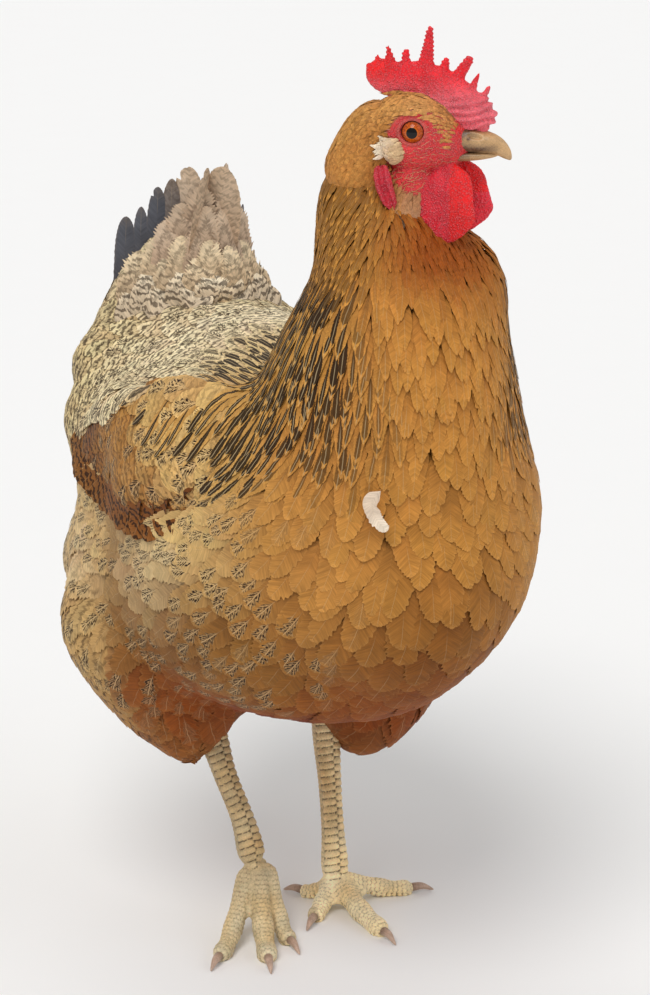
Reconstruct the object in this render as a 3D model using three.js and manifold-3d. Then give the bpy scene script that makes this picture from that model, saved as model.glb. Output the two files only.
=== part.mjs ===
// A standing buff hen with a single comb, modelled still at life size, in millimetres.
// She faces -Y with +Z up; her right side is at -X. Her head is turned to her left, her left
// foot stands flat, and her right foot rests on the tips of its toes. Each sub-part is one
// closed solid out to the tips of its feathers, 0.3 mm clear of its neighbours.
import * as THREE from "three";
import { mergeVertices } from "three/addons/utils/BufferGeometryUtils.js";
import Module from "manifold-3d";

const wasm = await Module();
wasm.setup();

// Driving dimensions.
const GAP = 0.3;
const EYE_LINE = [6.4, -84.4, 442.5];
const HEAD_YAW = 45;
const EYE_RADIUS = 6;
const EYE_SPREAD = 11.4;
const BEAK_BASE = -18.2;
const BEAK_TIP = -42.8;
const COMB_BASE_THICKNESS = 15.5;
const COMB_TIP_THICKNESS = 4.5;
const COMB_ROOT_HEIGHT = 4;
const COMB_RISE = 30;
const COMB_BEVEL = 1.4;
const COMB_SWAY = 1.5;
const COMB_SWAY_LENGTH = 11;
const SPIKE_TIP_WIDTH = 2.4;
const LEFT_WATTLE_SWING = 5;
const SHANK_RADIUS = 6.6;
const BLADE_THICKNESS = 2;
const RECTRICES_A_SIDE = 6;
const FAN_ROOT = [-1.5, 160, 316];
const FAN_REACH = 77;
const FAN_SHORTENING = 2.2;
const FAN_SPREAD = 44;
const FAN_BASE = 16;
const FAN_NOTCH = 0.93;
const TOE_JOINTS = [0, 0.35, 0.7, 1];
const TOE_TIP_SHARE = 0.76;
const TOE_SINK = 1;
const TOE_BEND = 1.15;
const HANGING_FALL = 0.35;
const CLAW_REACH = 11;
const CLAW_ROOT = 3;
const CLAW_ARCH = 1.6;
const CLAW_DROP = 2.2;
const CLAW_TIP_HEIGHT = 0;
const FLOOR_BLOCK = 900;

const radians = THREE.MathUtils.degToRad;
const at = (x, y, z) => new THREE.Vector3(x, y, z);
const FAN_OUT = at(-0.79, 0.58, -0.2).normalize();
const FAN_UP = at(-0.02, -0.32, 0.95).normalize();
const curve = (rows) => new THREE.CatmullRomCurve3(rows.map((row) => at(...row)));

// How open a section is at place t: 1 along the body, falling to 0 as a dome over the share of
// the length given for each end.
function dome(t, shares) {
  const near = Math.min(1, t / shares[0]);
  const far = Math.min(1, (1 - t) / shares[1]);
  return Math.sqrt(1 - (1 - near) ** 2) * Math.sqrt(1 - (1 - far) ** 2);
}

// One closed skin through rings of points, drawn to a point at each end.
function skinned(first, rings, last) {
  const sides = rings[0].length;
  const points = [first, ...rings.flat(), last];
  const end = points.length - 1;
  const faces = [];
  for (let j = 0; j < sides; j++) {
    const k = (j + 1) % sides;
    faces.push(0, 1 + k, 1 + j);
    for (let i = 0; i + 1 < rings.length; i++) {
      const a = 1 + i * sides;
      const b = a + sides;
      faces.push(a + j, a + k, b + k, a + j, b + k, b + j);
    }
    const c = 1 + (rings.length - 1) * sides;
    faces.push(c + j, c + k, end);
  }
  return new THREE.BufferGeometry().setFromPoints(points).setIndex(faces);
}

// A body swept along a path. Each size is [sideways, up, down] at its place on the path, square
// is the power of the superellipse, knobs are bulges along it, and grow thickens it all round.
function swept({ path, sizes, side, rings, sides, ends = [0.2, 0.2], square = 2, knobs = 0,
  knobDepth = 0, upright = false, grow = 0 }) {
  const spine = curve(path);
  const girth = curve(sizes);
  const across = at(...side).normalize();
  const made = [];
  for (let i = 1; i < rings; i++) {
    const t = (1 - Math.cos((Math.PI * i) / rings)) / 2;
    const centre = spine.getPoint(t);
    const along = upright ? at(0, 1, 0) : spine.getTangent(t);
    const right = across.clone().addScaledVector(along, -across.dot(along)).normalize();
    const up = along.clone().cross(right);
    const size = girth.getPoint(t);
    const swell = 1 + knobDepth * Math.cos(2 * Math.PI * knobs * t);
    const shut = dome(t, ends) * swell;
    const ring = [];
    for (let j = 0; j < sides; j++) {
      const angle = (2 * Math.PI * j) / sides;
      const c = Math.cos(angle);
      const s = Math.sin(angle);
      const u = Math.sign(c) * Math.abs(c) ** (2 / square);
      const w = Math.sign(s) * Math.abs(s) ** (2 / square);
      const tall = s > 0 ? size.y : size.z;
      ring.push(centre.clone().addScaledVector(right, u * (size.x * shut + grow))
        .addScaledVector(up, w * (tall * shut + grow)));
    }
    made.push(ring);
  }
  const [from, to] = [spine.getPoint(0), spine.getPoint(1)];
  const lead = upright ? at(0, 1, 0) : spine.getTangent(0);
  const trail = upright ? at(0, 1, 0) : spine.getTangent(1);
  return skinned(from.addScaledVector(lead, -grow), made, to.addScaledVector(trail, grow));
}

const grown = (shape) => swept({ ...shape, grow: GAP });

function solid(geometry) {
  const bare = geometry.clone();
  bare.deleteAttribute("normal");
  bare.deleteAttribute("uv");
  const merged = mergeVertices(bare, 1e-4);
  return new wasm.Manifold(new wasm.Mesh({
    numProp: 3,
    vertProperties: new Float32Array(merged.attributes.position.array),
    triVerts: new Uint32Array(merged.index.array),
  }));
}

function geometryOf(manifold) {
  const mesh = manifold.getMesh();
  const positions = new THREE.BufferAttribute(new Float32Array(mesh.vertProperties), 3);
  const made = new THREE.BufferGeometry().setAttribute("position", positions);
  made.setIndex(Array.from(mesh.triVerts));
  return made;
}

// The largest piece left of a body once others are cut from it.
function cut(geometry, ...others) {
  const rest = others.reduce((left, other) => left.subtract(solid(other)), solid(geometry));
  const pieces = rest.decompose().sort((a, b) => b.volume() - a.volume());
  return geometryOf(pieces[0]);
}

// The same shape on the bird's other side, with its faces still pointing out.
function mirrored(geometry) {
  const copy = (geometry.index ? geometry.clone() : mergeVertices(geometry)).scale(-1, 1, 1);
  const index = Array.from(copy.index.array);
  for (let i = 0; i < index.length; i += 3) {
    [index[i + 1], index[i + 2]] = [index[i + 2], index[i + 1]];
  }
  return copy.setIndex(index);
}

// Finishes.
const finish = (color, roughness) => new THREE.MeshStandardMaterial({ color, roughness });
const BUFF = finish(0xb98a4a, 0.85);
const STRAW = finish(0xa89468, 0.85);
const SLATE = finish(0x5b5a5c, 0.8);
const RED = finish(0xc8202c, 0.6);
const ROSE = finish(0xb02a48, 0.6);
const HORN = finish(0xb09468, 0.45);
const AMBER = finish(0xc06a20, 0.1);
const SCALE = finish(0x9a8c58, 0.6);
const CLAW = finish(0xd8bfa4, 0.4);

const hen = new THREE.Group();
const head = new THREE.Group();
head.position.set(...EYE_LINE);
head.rotation.z = radians(HEAD_YAW);
head.updateMatrix();
hen.add(head);

function place(group, name, geometry, material) {
  const mesh = new THREE.Mesh(geometry, material);
  mesh.name = name;
  group.add(mesh);
}

// Trunk: full deep breast in front, flat back, belly that rises to the vent.
const trunk = {
  path: [[0, -138, 224], [0, -100, 218], [0, -52, 212], [0, 0, 204], [0, 55, 196],
    [0, 105, 191], [0, 150, 196], [0, 198, 216]],
  sizes: [[40, 40, 44], [70, 76, 60], [92, 95, 77], [102, 112, 82], [104, 121, 80],
    [98, 127, 82], [86, 119, 76], [57, 80, 46]],
  side: [-1, 0, 0], upright: true, rings: 18, sides: 24, ends: [0.17, 0.17], square: 2.1,
};

// Neck: a cape of hackle that widens down to the shoulders.
const neck = {
  path: [[0, -40, 225], [0, -56, 275], [0, -70, 325], [-2, -74, 370], [-12, -64, 408],
    [-10, -68, 446]],
  sizes: [[92, 78, 92], [82, 68, 76], [64, 56, 60], [47, 46, 46], [26, 28, 26], [18, 20, 16]],
  side: [1, 0, 0], rings: 11, sides: 18, ends: [0.05, 0.25],
};

// Skull, from nape to the base of the beak, in the head's own frame.
const skull = {
  path: [[0, 24.6, -3.6], [0, 10.9, -1.8], [0, -3.6, -3.6], [0, -14.6, -6.4], [0, -24.6, -8.2]],
  sizes: [[13.7, 13.7, 16.4], [17.3, 18.2, 21.8], [15.9, 18.2, 20], [11.8, 13.7, 13.7],
    [8.2, 9.1, 8.2]],
  side: [1, 0, 0], rings: 11, sides: 16, ends: [0.45, 0.3],
};

const wing = {
  path: [[-60, -66, 308], [-79, -34, 297], [-90, 8, 283], [-92, 54, 268], [-83, 104, 256],
    [-64, 150, 254]],
  sizes: [[9, 20, 26], [11, 34, 38], [11, 38, 44], [10, 36, 42], [9, 28, 32], [6, 12, 14]],
  side: [-1, 0, 0.4], rings: 14, sides: 12, ends: [0.2, 0.3],
};

const tail = {
  path: [[0, 152, 266], [0, 168, 306], [0, 166, 334], [0, 150, 366]],
  sizes: [[80, 50, 60], [50, 36, 42], [34, 22, 28], [22, 12, 16]],
  side: [1, 0, 0], rings: 10, sides: 18, ends: [0.08, 0.3],
};

// The tail feathers of her right side, closed over one another as one fan. Their tips stand in
// a roof that is highest at the middle and slopes out, back and down.
function fanPlate(extra) {
  const shape = new THREE.Shape();
  const fanPoint = (turn, reach) => {
    const angle = radians(turn);
    return [reach * Math.sin(angle), reach * Math.cos(angle)];
  };
  const step = FAN_SPREAD / RECTRICES_A_SIDE;
  shape.moveTo(-extra, -extra);
  shape.lineTo(-extra, FAN_REACH * FAN_NOTCH);
  for (let i = 0; i < RECTRICES_A_SIDE; i++) {
    const reach = FAN_REACH - FAN_SHORTENING * i + extra;
    const tip = fanPoint(step * (i + 0.5), reach);
    const notch = fanPoint(step * (i + 1), reach * FAN_NOTCH);
    shape.quadraticCurveTo(...fanPoint(step * (i + 0.2), reach), ...tip);
    shape.quadraticCurveTo(...fanPoint(step * (i + 0.9), reach), ...notch);
  }
  shape.lineTo(FAN_BASE + extra, -extra);
  const depth = BLADE_THICKNESS + 2 * extra;
  const plate = new THREE.ExtrudeGeometry(shape, { depth, curveSegments: 2, bevelEnabled: false });
  plate.translate(0, 0, -depth / 2);
  const frame = new THREE.Matrix4().makeBasis(FAN_OUT, FAN_UP, FAN_OUT.clone().cross(FAN_UP));
  plate.applyMatrix4(frame.setPosition(...FAN_ROOT));
  return plate;
}

// Legs. A thigh narrows to the hock; a shank runs from the hock to the ball of the foot.
const legs = {
  left: {
    thigh: [[58, 46, 184], [55, 48, 150], [46, 44, 118], [34, 40, 96], [24, 38, 80]],
    shank: [[23, 44, 98], [21.5, 37, 66], [20.5, 31, 38], [20, 27, 13]],
    ball: [20, 27, 12],
  },
  right: {
    thigh: [[-62, 58, 186], [-64, 68, 154], [-57, 62, 124], [-49, 50, 103], [-40, 43, 85]],
    shank: [[-44, 46, 104], [-40, 38, 82], [-34, 29, 58], [-31, 22, 35]],
    ball: [-31, 22, 34],
  },
};
const thighOf = (leg) => ({
  path: leg.thigh,
  sizes: [[48, 58, 58], [48, 56, 56], [42, 44, 46], [26, 28, 28], [12, 12, 12]],
  side: [1, 0, 0], rings: 9, sides: 16, ends: [0.1, 0.2],
});
const shankOf = (leg) => ({
  path: leg.shank, sizes: [[8, 9, 9], [SHANK_RADIUS, 8, 7.5], [SHANK_RADIUS, 7.5, 7], [10, 8, 9]],
  side: [1, 0, 0], rings: 8, sides: 10, ends: [0.1, 0.16],
});

const wingRight = swept(wing);
const wingGrown = grown(wing);
const thighs = { left: swept(thighOf(legs.left)), right: swept(thighOf(legs.right)) };
const trunkGrown = grown(trunk);
const neckGrown = grown(neck);

place(hen, "trunk", cut(swept(trunk), wingGrown, mirrored(wingGrown)), BUFF);
place(hen, "wing_right", wingRight, STRAW);
place(hen, "wing_left", mirrored(wingRight), STRAW);
place(hen, "thigh_right", cut(thighs.right, trunkGrown, wingGrown, grown(shankOf(legs.right))), BUFF);
place(hen, "thigh_left", cut(thighs.left, trunkGrown, mirrored(wingGrown),
  grown(shankOf(legs.left))), BUFF);

const fan = fanPlate(0);
const fanGrown = fanPlate(GAP);
place(hen, "tail_fan_right", fan, SLATE);
place(hen, "tail_fan_left", mirrored(fan), SLATE);
place(hen, "tail", cut(swept(tail), trunkGrown, wingGrown, mirrored(wingGrown), fanGrown,
  mirrored(fanGrown)), STRAW);

// Comb: each spike's tip and the valley in front of it, as [forward, up] from the eye line.
const COMB_SPIKES = [
  { tip: [-21, 32.6], valley: [-19, 32] },
  { tip: [-16, 38], valley: [-9.5, 30.5] },
  { tip: [-7, 36], valley: [-4, 30.5] },
  { tip: [4.7, 48], valley: [8, 29.5] },
  { tip: [12, 32.6], valley: [14.2, 27] },
  { tip: [24.5, 35], valley: [20.5, 21] },
  { tip: [28.6, 27], valley: [26.5, 18.5] },
  { tip: [33.6, 21.6], valley: [32.6, 17] },
];
function combOutline() {
  const shape = new THREE.Shape();
  const half = SPIKE_TIP_WIDTH / 2;
  shape.moveTo(-27.6, 27.6);
  for (const { tip, valley } of COMB_SPIKES) {
    shape.lineTo(tip[0] - half, tip[1] - half);
    shape.quadraticCurveTo(tip[0], tip[1] + half, tip[0] + half, tip[1] - half);
    shape.lineTo(...valley);
  }
  shape.quadraticCurveTo(40, 8, 37, 1);
  shape.quadraticCurveTo(34, -4, 29, -2);
  shape.lineTo(19.5, 0);
  shape.lineTo(4, 12);
  shape.lineTo(-12, 12);
  shape.quadraticCurveTo(-25, 13, -27.6, 27.6);
  return shape;
}

// The comb's blade, thick where it roots on the forehead and thin along its spikes.
function combBody(extra) {
  const blade = new THREE.ExtrudeGeometry(combOutline(), {
    depth: 2, steps: 1, curveSegments: 3, bevelEnabled: true, bevelThickness: COMB_BEVEL,
    bevelSize: COMB_BEVEL - 1 + extra, bevelSegments: 1,
  });
  blade.translate(0, 0, -1);
  const positions = blade.attributes.position;
  for (let i = 0; i < positions.count; i++) {
    const forward = positions.getX(i);
    const up = positions.getY(i);
    const across = positions.getZ(i) / (1 + COMB_BEVEL);
    const rise = THREE.MathUtils.clamp((up - COMB_ROOT_HEIGHT) / COMB_RISE, 0, 1);
    const thick = THREE.MathUtils.lerp(COMB_BASE_THICKNESS, COMB_TIP_THICKNESS, Math.sqrt(rise));
    const sway = COMB_SWAY * Math.sin(forward / COMB_SWAY_LENGTH);
    positions.setXYZ(i, sway - across * (thick / 2 + extra), -forward, up);
  }
  return blade;
}
const comb = combBody(0);

// A wattle on her right, hung further forward by swing at its lower end.
const wattle = (swing) => ({
  path: [[-4.5, -17.3, -14.6], [-7.3, -16.4 - 0.3 * swing, -23.7],
    [-9.1, -14.6 - 0.8 * swing, -36.4 + 0.2 * swing], [-9.6, -13.7 - swing, -52.8 + 0.5 * swing]],
  sizes: [[3.6, 5.5, 5.5], [3.6, 10, 10.9], [3.3, 13.7, 14.6], [2.7, 9.1, 10]],
  side: [-1, 0, 0], rings: 9, sides: 10, ends: [0.2, 0.45],
});
const earlobe = {
  path: [[-16.4, 14.6, -14.6], [-18.2, 12.7, -21.8], [-18.2, 10, -30], [-17.3, 7.3, -38.2]],
  sizes: [[2.2, 3.2, 3.2], [2.7, 3.6, 3.6], [2.4, 3.1, 3.1], [1.8, 2, 2]],
  side: [-1, 0, 0], rings: 6, sides: 8, ends: [0.3, 0.4],
};
const beakUpper = {
  path: [[0, BEAK_BASE, -5], [0, -28.2, -5.5], [0, -36.4, -7.3], [0, BEAK_TIP, -12.4]],
  sizes: [[6.9, 6.4, 5], [6, 5.5, 4.5], [3.8, 4.2, 3.1], [1.5, 2, 1.1]],
  side: [1, 0, 0], rings: 9, sides: 10, ends: [0.1, 0.25],
};
const beakLower = {
  path: [[0, BEAK_BASE, -13.2], [0, -28.2, -12.6], [0, -37.8, -12]],
  sizes: [[6, 2.4, 3.6], [4.7, 1.8, 2.7], [1.8, 0.9, 1.1]],
  side: [1, 0, 0], rings: 6, sides: 10, ends: [0.1, 0.3],
};
const eye = (extra) => new THREE.SphereGeometry(EYE_RADIUS + extra, 12, 8)
  .translate(-EYE_SPREAD, 0, 0);

const eyeGrown = eye(GAP);
const bothEyes = [eyeGrown, mirrored(eyeGrown)];
const upper = cut(swept(beakUpper), grown(beakLower));
const lower = swept(beakLower);
const combGrown = combBody(GAP);
const beaksGrown = [grown(beakUpper), grown(beakLower)];
place(head, "head", cut(swept(skull), ...bothEyes, combGrown, ...beaksGrown), RED);
place(head, "comb", cut(comb, ...bothEyes, grown(beakUpper)), RED);
place(head, "beak_upper", upper, HORN);
place(head, "beak_lower", lower, HORN);
place(head, "eye_right", eye(0), AMBER);
place(head, "eye_left", mirrored(eye(0)), AMBER);
const headGrown = { ...skull, grow: GAP };
const hangWattle = (swing) => cut(swept(wattle(swing)), swept(headGrown), ...beaksGrown);
place(head, "wattle_right", hangWattle(0), RED);
place(head, "wattle_left", mirrored(hangWattle(LEFT_WATTLE_SWING)), RED);
const lobeRight = cut(swept(earlobe), swept(headGrown));
place(head, "earlobe_right", lobeRight, ROSE);
place(head, "earlobe_left", mirrored(lobeRight), ROSE);
const onHead = [swept(headGrown), combGrown, ...beaksGrown, grown(wattle(0)), grown(earlobe),
  mirrored(grown(wattle(LEFT_WATTLE_SWING))), mirrored(grown(earlobe))];
const headCuts = onHead.map((shape) => shape.clone().applyMatrix4(head.matrix));
place(hen, "neck", cut(swept(neck), trunkGrown, wingGrown, mirrored(wingGrown), ...headCuts), BUFF);

// Feet. Each toe leaves the ball at its own heading, measured from straight ahead toward her
// left, a little aside of the middle of the ball, and its claw goes on from its tip.
const FEET = {
  left: [
    { name: "2", heading: -50, aside: -3, reach: 30, radius: 5 },
    { name: "3", heading: 3, aside: 0, reach: 52, radius: 5.6 },
    { name: "4", heading: 76, aside: 4, reach: 44, radius: 5 },
    { name: "1", heading: -138, aside: -3, reach: 20, radius: 4.4 },
  ],
  right: [
    { name: "2", heading: 9, aside: 7, reach: 34, radius: 5 },
    { name: "3", heading: -17, aside: 2, reach: 49, radius: 5.8 },
    { name: "4", heading: -48, aside: -3, reach: 49, radius: 5.3 },
    { name: "1", heading: 150, aside: 3, reach: 20, radius: 4.4 },
  ],
};
const floor = new THREE.BoxGeometry(FLOOR_BLOCK, FLOOR_BLOCK, FLOOR_BLOCK);
floor.translate(0, 0, -FLOOR_BLOCK / 2);

// A toe falls from the height of the ball to lie on the floor by its last joint. The hind toe of
// the raised foot hangs clear of the floor.
function toePath(ball, toe, hangs) {
  const out = at(Math.sin(radians(toe.heading)), -Math.cos(radians(toe.heading)), 0);
  return TOE_JOINTS.map((t) => {
    const point = at(...ball).addScaledVector(out, t * toe.reach);
    point.x += toe.aside * (1 - t);
    const low = toe.radius * THREE.MathUtils.lerp(1, TOE_TIP_SHARE, t) - TOE_SINK;
    const fall = hangs ? HANGING_FALL * t : Math.sin((Math.PI / 2) * Math.min(1, t * TOE_BEND));
    point.z = THREE.MathUtils.lerp(ball[2], low, fall);
    return point.toArray();
  });
}
const toeShape = (path, toe) => ({
  path, sizes: [1.2, 1, 0.92, TOE_TIP_SHARE].map((share) => Array(3).fill(share * toe.radius)),
  side: [0.01, 0.01, 1], rings: 8, sides: 7, ends: [0.1, 0.14], knobs: 3, knobDepth: 0.05,
});
function clawShape(path, hangs) {
  const tip = at(...path[3]);
  const out = tip.clone().sub(at(...path[2])).normalize();
  const root = tip.clone().addScaledVector(out, -CLAW_ROOT);
  const end = tip.clone().addScaledVector(out, CLAW_REACH);
  end.z = hangs ? end.z - CLAW_DROP : CLAW_TIP_HEIGHT;
  const mid = root.clone().lerp(end, 0.5);
  mid.z += CLAW_ARCH;
  return {
    path: [root.toArray(), mid.toArray(), end.toArray()],
    sizes: [[2.6, 2.4, 2.6], [2, 1.7, 2], [0.7, 0.6, 0.7]],
    side: [0.01, 0.01, 1], rings: 5, sides: 6, ends: [0.2, 0.2],
  };
}

for (const [sideName, leg] of Object.entries(legs)) {
  const shank = cut(swept(shankOf(leg)), floor);
  place(hen, `shank_${sideName}`, shank, SCALE);
  const earlier = [grown(shankOf(leg))];
  for (const toe of FEET[sideName]) {
    const hangs = sideName === "right" && toe.name === "1";
    const path = toePath(leg.ball, toe, hangs);
    const shape = toeShape(path, toe);
    const claw = clawShape(path, hangs);
    const toeBody = cut(swept(shape), ...earlier, grown(claw), floor);
    place(hen, `toe_${sideName}_${toe.name}`, toeBody, SCALE);
    place(hen, `claw_${sideName}_${toe.name}`, cut(swept(claw), floor), CLAW);
    earlier.push(grown(shape));
  }
}

// The origin is on the floor, under the middle of the bird.
hen.updateMatrixWorld(true);
const box = new THREE.Box3().setFromObject(hen);
const centre = box.getCenter(new THREE.Vector3());
hen.position.set(-centre.x, -centre.y, -box.min.z);

const model = new THREE.Group();
model.add(hen);

export default model;
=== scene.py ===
# Looks of the standing buff hen: one skin under a coat of mesh feathers, with eyes, beak and
# claws of their own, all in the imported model's frame. Lengths in the tables are millimetres in
# the bird's own frame, where she faces -Y and her right side is at -X.
import itertools
import math

import bpy
import numpy as np
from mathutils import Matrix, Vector, noise
from mathutils.bvhtree import BVHTree

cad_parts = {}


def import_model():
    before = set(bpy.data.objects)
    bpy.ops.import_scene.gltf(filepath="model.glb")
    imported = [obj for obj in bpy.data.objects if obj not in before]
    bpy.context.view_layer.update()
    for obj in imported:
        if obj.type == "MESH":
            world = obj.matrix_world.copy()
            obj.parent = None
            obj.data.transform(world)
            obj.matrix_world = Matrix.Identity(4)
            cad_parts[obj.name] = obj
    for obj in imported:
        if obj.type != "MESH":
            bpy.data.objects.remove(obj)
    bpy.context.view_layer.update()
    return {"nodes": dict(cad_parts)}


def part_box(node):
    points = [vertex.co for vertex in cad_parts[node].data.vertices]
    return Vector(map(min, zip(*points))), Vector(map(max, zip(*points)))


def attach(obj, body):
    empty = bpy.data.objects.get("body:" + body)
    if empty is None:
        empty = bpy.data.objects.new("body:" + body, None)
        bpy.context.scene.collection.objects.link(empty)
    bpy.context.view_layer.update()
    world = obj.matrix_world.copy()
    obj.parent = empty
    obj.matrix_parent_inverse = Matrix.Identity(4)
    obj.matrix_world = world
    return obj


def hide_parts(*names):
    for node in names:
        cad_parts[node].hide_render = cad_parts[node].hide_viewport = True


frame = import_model()
NODES = frame["nodes"]
MM = 0.001
TAU = 2 * math.pi
norm = np.linalg.norm

SIDES = (("left", 1), ("right", -1))

# ---------------------------------------------------------------- places
EYE_LINE = np.array([6.4, -84.4, 442.5])
HEAD_YAW = math.radians(45)


def node_centre(name):
    low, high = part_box(name)
    return np.array((low + high) / 2) / MM


SHIFT = (node_centre("eye_left") + node_centre("eye_right")) / 2 - EYE_LINE
TURN = np.array([[math.cos(HEAD_YAW), -math.sin(HEAD_YAW), 0],
                 [math.sin(HEAD_YAW), math.cos(HEAD_YAW), 0], [0, 0, 1]])


def world(points):
    """Bird frame in millimetres to the model's frame in metres."""
    return (np.asarray(points, float) + SHIFT) * MM


def bird(points):
    """The model's frame in metres to the bird frame in millimetres."""
    return np.asarray(points, float) / MM - SHIFT


def from_head(points):
    """The head's own frame, forward at -Y, to the bird frame."""
    return np.asarray(points, float) @ TURN.T + EYE_LINE


def to_head(points):
    return (np.asarray(points, float) - EYE_LINE) @ TURN


def unit(v):
    v = np.asarray(v, float)
    return v / np.maximum(norm(v, axis=-1, keepdims=True), 1e-9)


def ramp(x, low, high):
    t = np.clip((np.asarray(x, float) - low) / (high - low), 0, 1)
    return t * t * (3 - 2 * t)


def bump(x, width):
    """A smooth bump of height 1 about x = 0."""
    return np.exp(-(x / width) ** 2)


def linear(srgb):
    c = np.asarray(srgb, float) / 255
    return np.where(c <= 0.04045, c / 12.92, ((c + 0.055) / 1.055) ** 2.4)


def paint(*srgb):
    """A colour for a shader's socket."""
    return tuple(linear(srgb))


# ---------------------------------------------------------------- shapes
def spline(rows, t):
    """A Catmull-Rom curve through the rows at the shares t."""
    p = np.asarray(rows, float)
    p = np.vstack([2 * p[0] - p[1], p, 2 * p[-1] - p[-2]])
    x = np.clip(np.asarray(t, float), 0, 1) * (len(p) - 3)
    i = np.minimum(x.astype(int), len(p) - 4)
    f = (x - i)[:, None]
    a, b, c, d = p[i], p[i + 1], p[i + 2], p[i + 3]
    return 0.5 * (2 * b + (c - a) * f + (2 * a - 5 * b + 4 * c - d) * f ** 2
                  + (3 * b - a - 3 * c + d) * f ** 3)


def sweep(path, sizes, side=(1, 0, 0), rings=60, sides=48, ends=(0.2, 0.2), square=2.0, relief=None):
    """A closed body along a path: sizes are [sideways, up, down], up being along x right.
    relief(t, angle, girth) adds height to the surface. Returns vertices and quads."""
    t = (1 - np.cos(np.pi * np.arange(1, rings) / rings)) / 2
    centre = spline(path, t)
    along = unit(spline(path, np.minimum(t + 1e-3, 1)) - spline(path, np.maximum(t - 1e-3, 0)))
    right = np.asarray(side, float)[None] - along * (along @ np.asarray(side, float))[:, None]
    right = unit(right)
    up = np.cross(along, right)
    size = spline(sizes, t)
    near = np.minimum(1, t / ends[0])
    far = np.minimum(1, (1 - t) / ends[1])
    shut = np.sqrt(1 - (1 - near) ** 2) * np.sqrt(1 - (1 - far) ** 2)
    angle = TAU * np.arange(sides) / sides
    c, s = np.cos(angle), np.sin(angle)
    u = np.sign(c) * np.abs(c) ** (2 / square)
    w = np.sign(s) * np.abs(s) ** (2 / square)
    tall = np.where(s[None] > 0, size[:, 1:2], size[:, 2:3])
    wide = size[:, 0:1] * shut[:, None]
    tall = tall * shut[:, None]
    if relief is not None:
        height = relief(t[:, None], angle[None], size.mean(1)[:, None]) * np.minimum(1, 3 * shut[:, None])
        wide, tall = wide + height, tall + height
    ring = (centre[:, None] + right[:, None] * (u * wide)[..., None]
            + up[:, None] * (w * tall)[..., None])
    ends_at = spline(path, np.array([0.0, 1.0]))
    verts = np.vstack([ring.reshape(-1, 3), ends_at])
    rows = len(t)
    i, j = np.meshgrid(np.arange(rows - 1), np.arange(sides), indexing="ij")
    k = (j + 1) % sides
    quads = np.stack([i * sides + j, i * sides + k, (i + 1) * sides + k, (i + 1) * sides + j], -1)
    faces = [list(map(int, q)) for q in quads.reshape(-1, 4)]
    first, last = rows * sides, rows * sides + 1
    for j in range(sides):
        k = (j + 1) % sides
        faces.append([first, k, j])
        faces.append([(rows - 1) * sides + j, (rows - 1) * sides + k, last])
    return verts, faces


def joined(parts):
    """Several (vertices, faces) pairs as one."""
    verts, faces, base = [], [], 0
    for v, f in parts:
        verts.append(v)
        faces.extend([[i + base for i in face] for face in f])
        base += len(v)
    return np.vstack(verts), faces


def flipped(part):
    """The same body on the bird's other side."""
    verts, faces = part
    return verts * np.array([-1, 1, 1]), [face[::-1] for face in faces]


def linked(name, data):
    obj = bpy.data.objects.new(name, data)
    bpy.context.scene.collection.objects.link(obj)
    return obj


def mesh_from(name, verts, faces):
    mesh = bpy.data.meshes.new(name)
    mesh.from_pydata(verts.tolist(), [], faces)
    mesh.update()
    return mesh


def stored(mesh, name, values, domain="POINT"):
    """Adds an attribute to a mesh: numbers, vectors or colours by the width of the values."""
    kind, slot = ("BOOLEAN", "value") if values.dtype == bool else {
        1: ("FLOAT", "value"), 3: ("FLOAT_VECTOR", "vector"), 4: ("FLOAT_COLOR", "color")}[
        1 if values.ndim == 1 else values.shape[1]]
    mesh.attributes.new(name, kind, domain).data.foreach_set(slot, values.ravel())


def arrays_of(mesh):
    co = np.empty(len(mesh.vertices) * 3, np.float32)
    mesh.vertices.foreach_get("co", co)
    faces = [list(p.vertices) for p in mesh.polygons]
    return co.reshape(-1, 3).astype(float), faces


def evaluated(mesh, *modifiers):
    """The mesh after some modifiers, each a (type, settings) pair, as a new mesh."""
    obj = linked("working", mesh)
    for kind, settings in modifiers:
        modifier = obj.modifiers.new(kind.lower(), kind)
        for key, value in settings.items():
            setattr(modifier, key, value)
    graph = bpy.context.evaluated_depsgraph_get()
    made = bpy.data.meshes.new_from_object(obj.evaluated_get(graph))
    bpy.data.objects.remove(obj)
    return made


def remeshed(part, voxel):
    mesh = mesh_from("remesh", *part)
    made = evaluated(mesh, ("REMESH", {"mode": "VOXEL", "voxel_size": voxel}))
    out = arrays_of(made)
    bpy.data.meshes.remove(mesh)
    bpy.data.meshes.remove(made)
    return out


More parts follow.
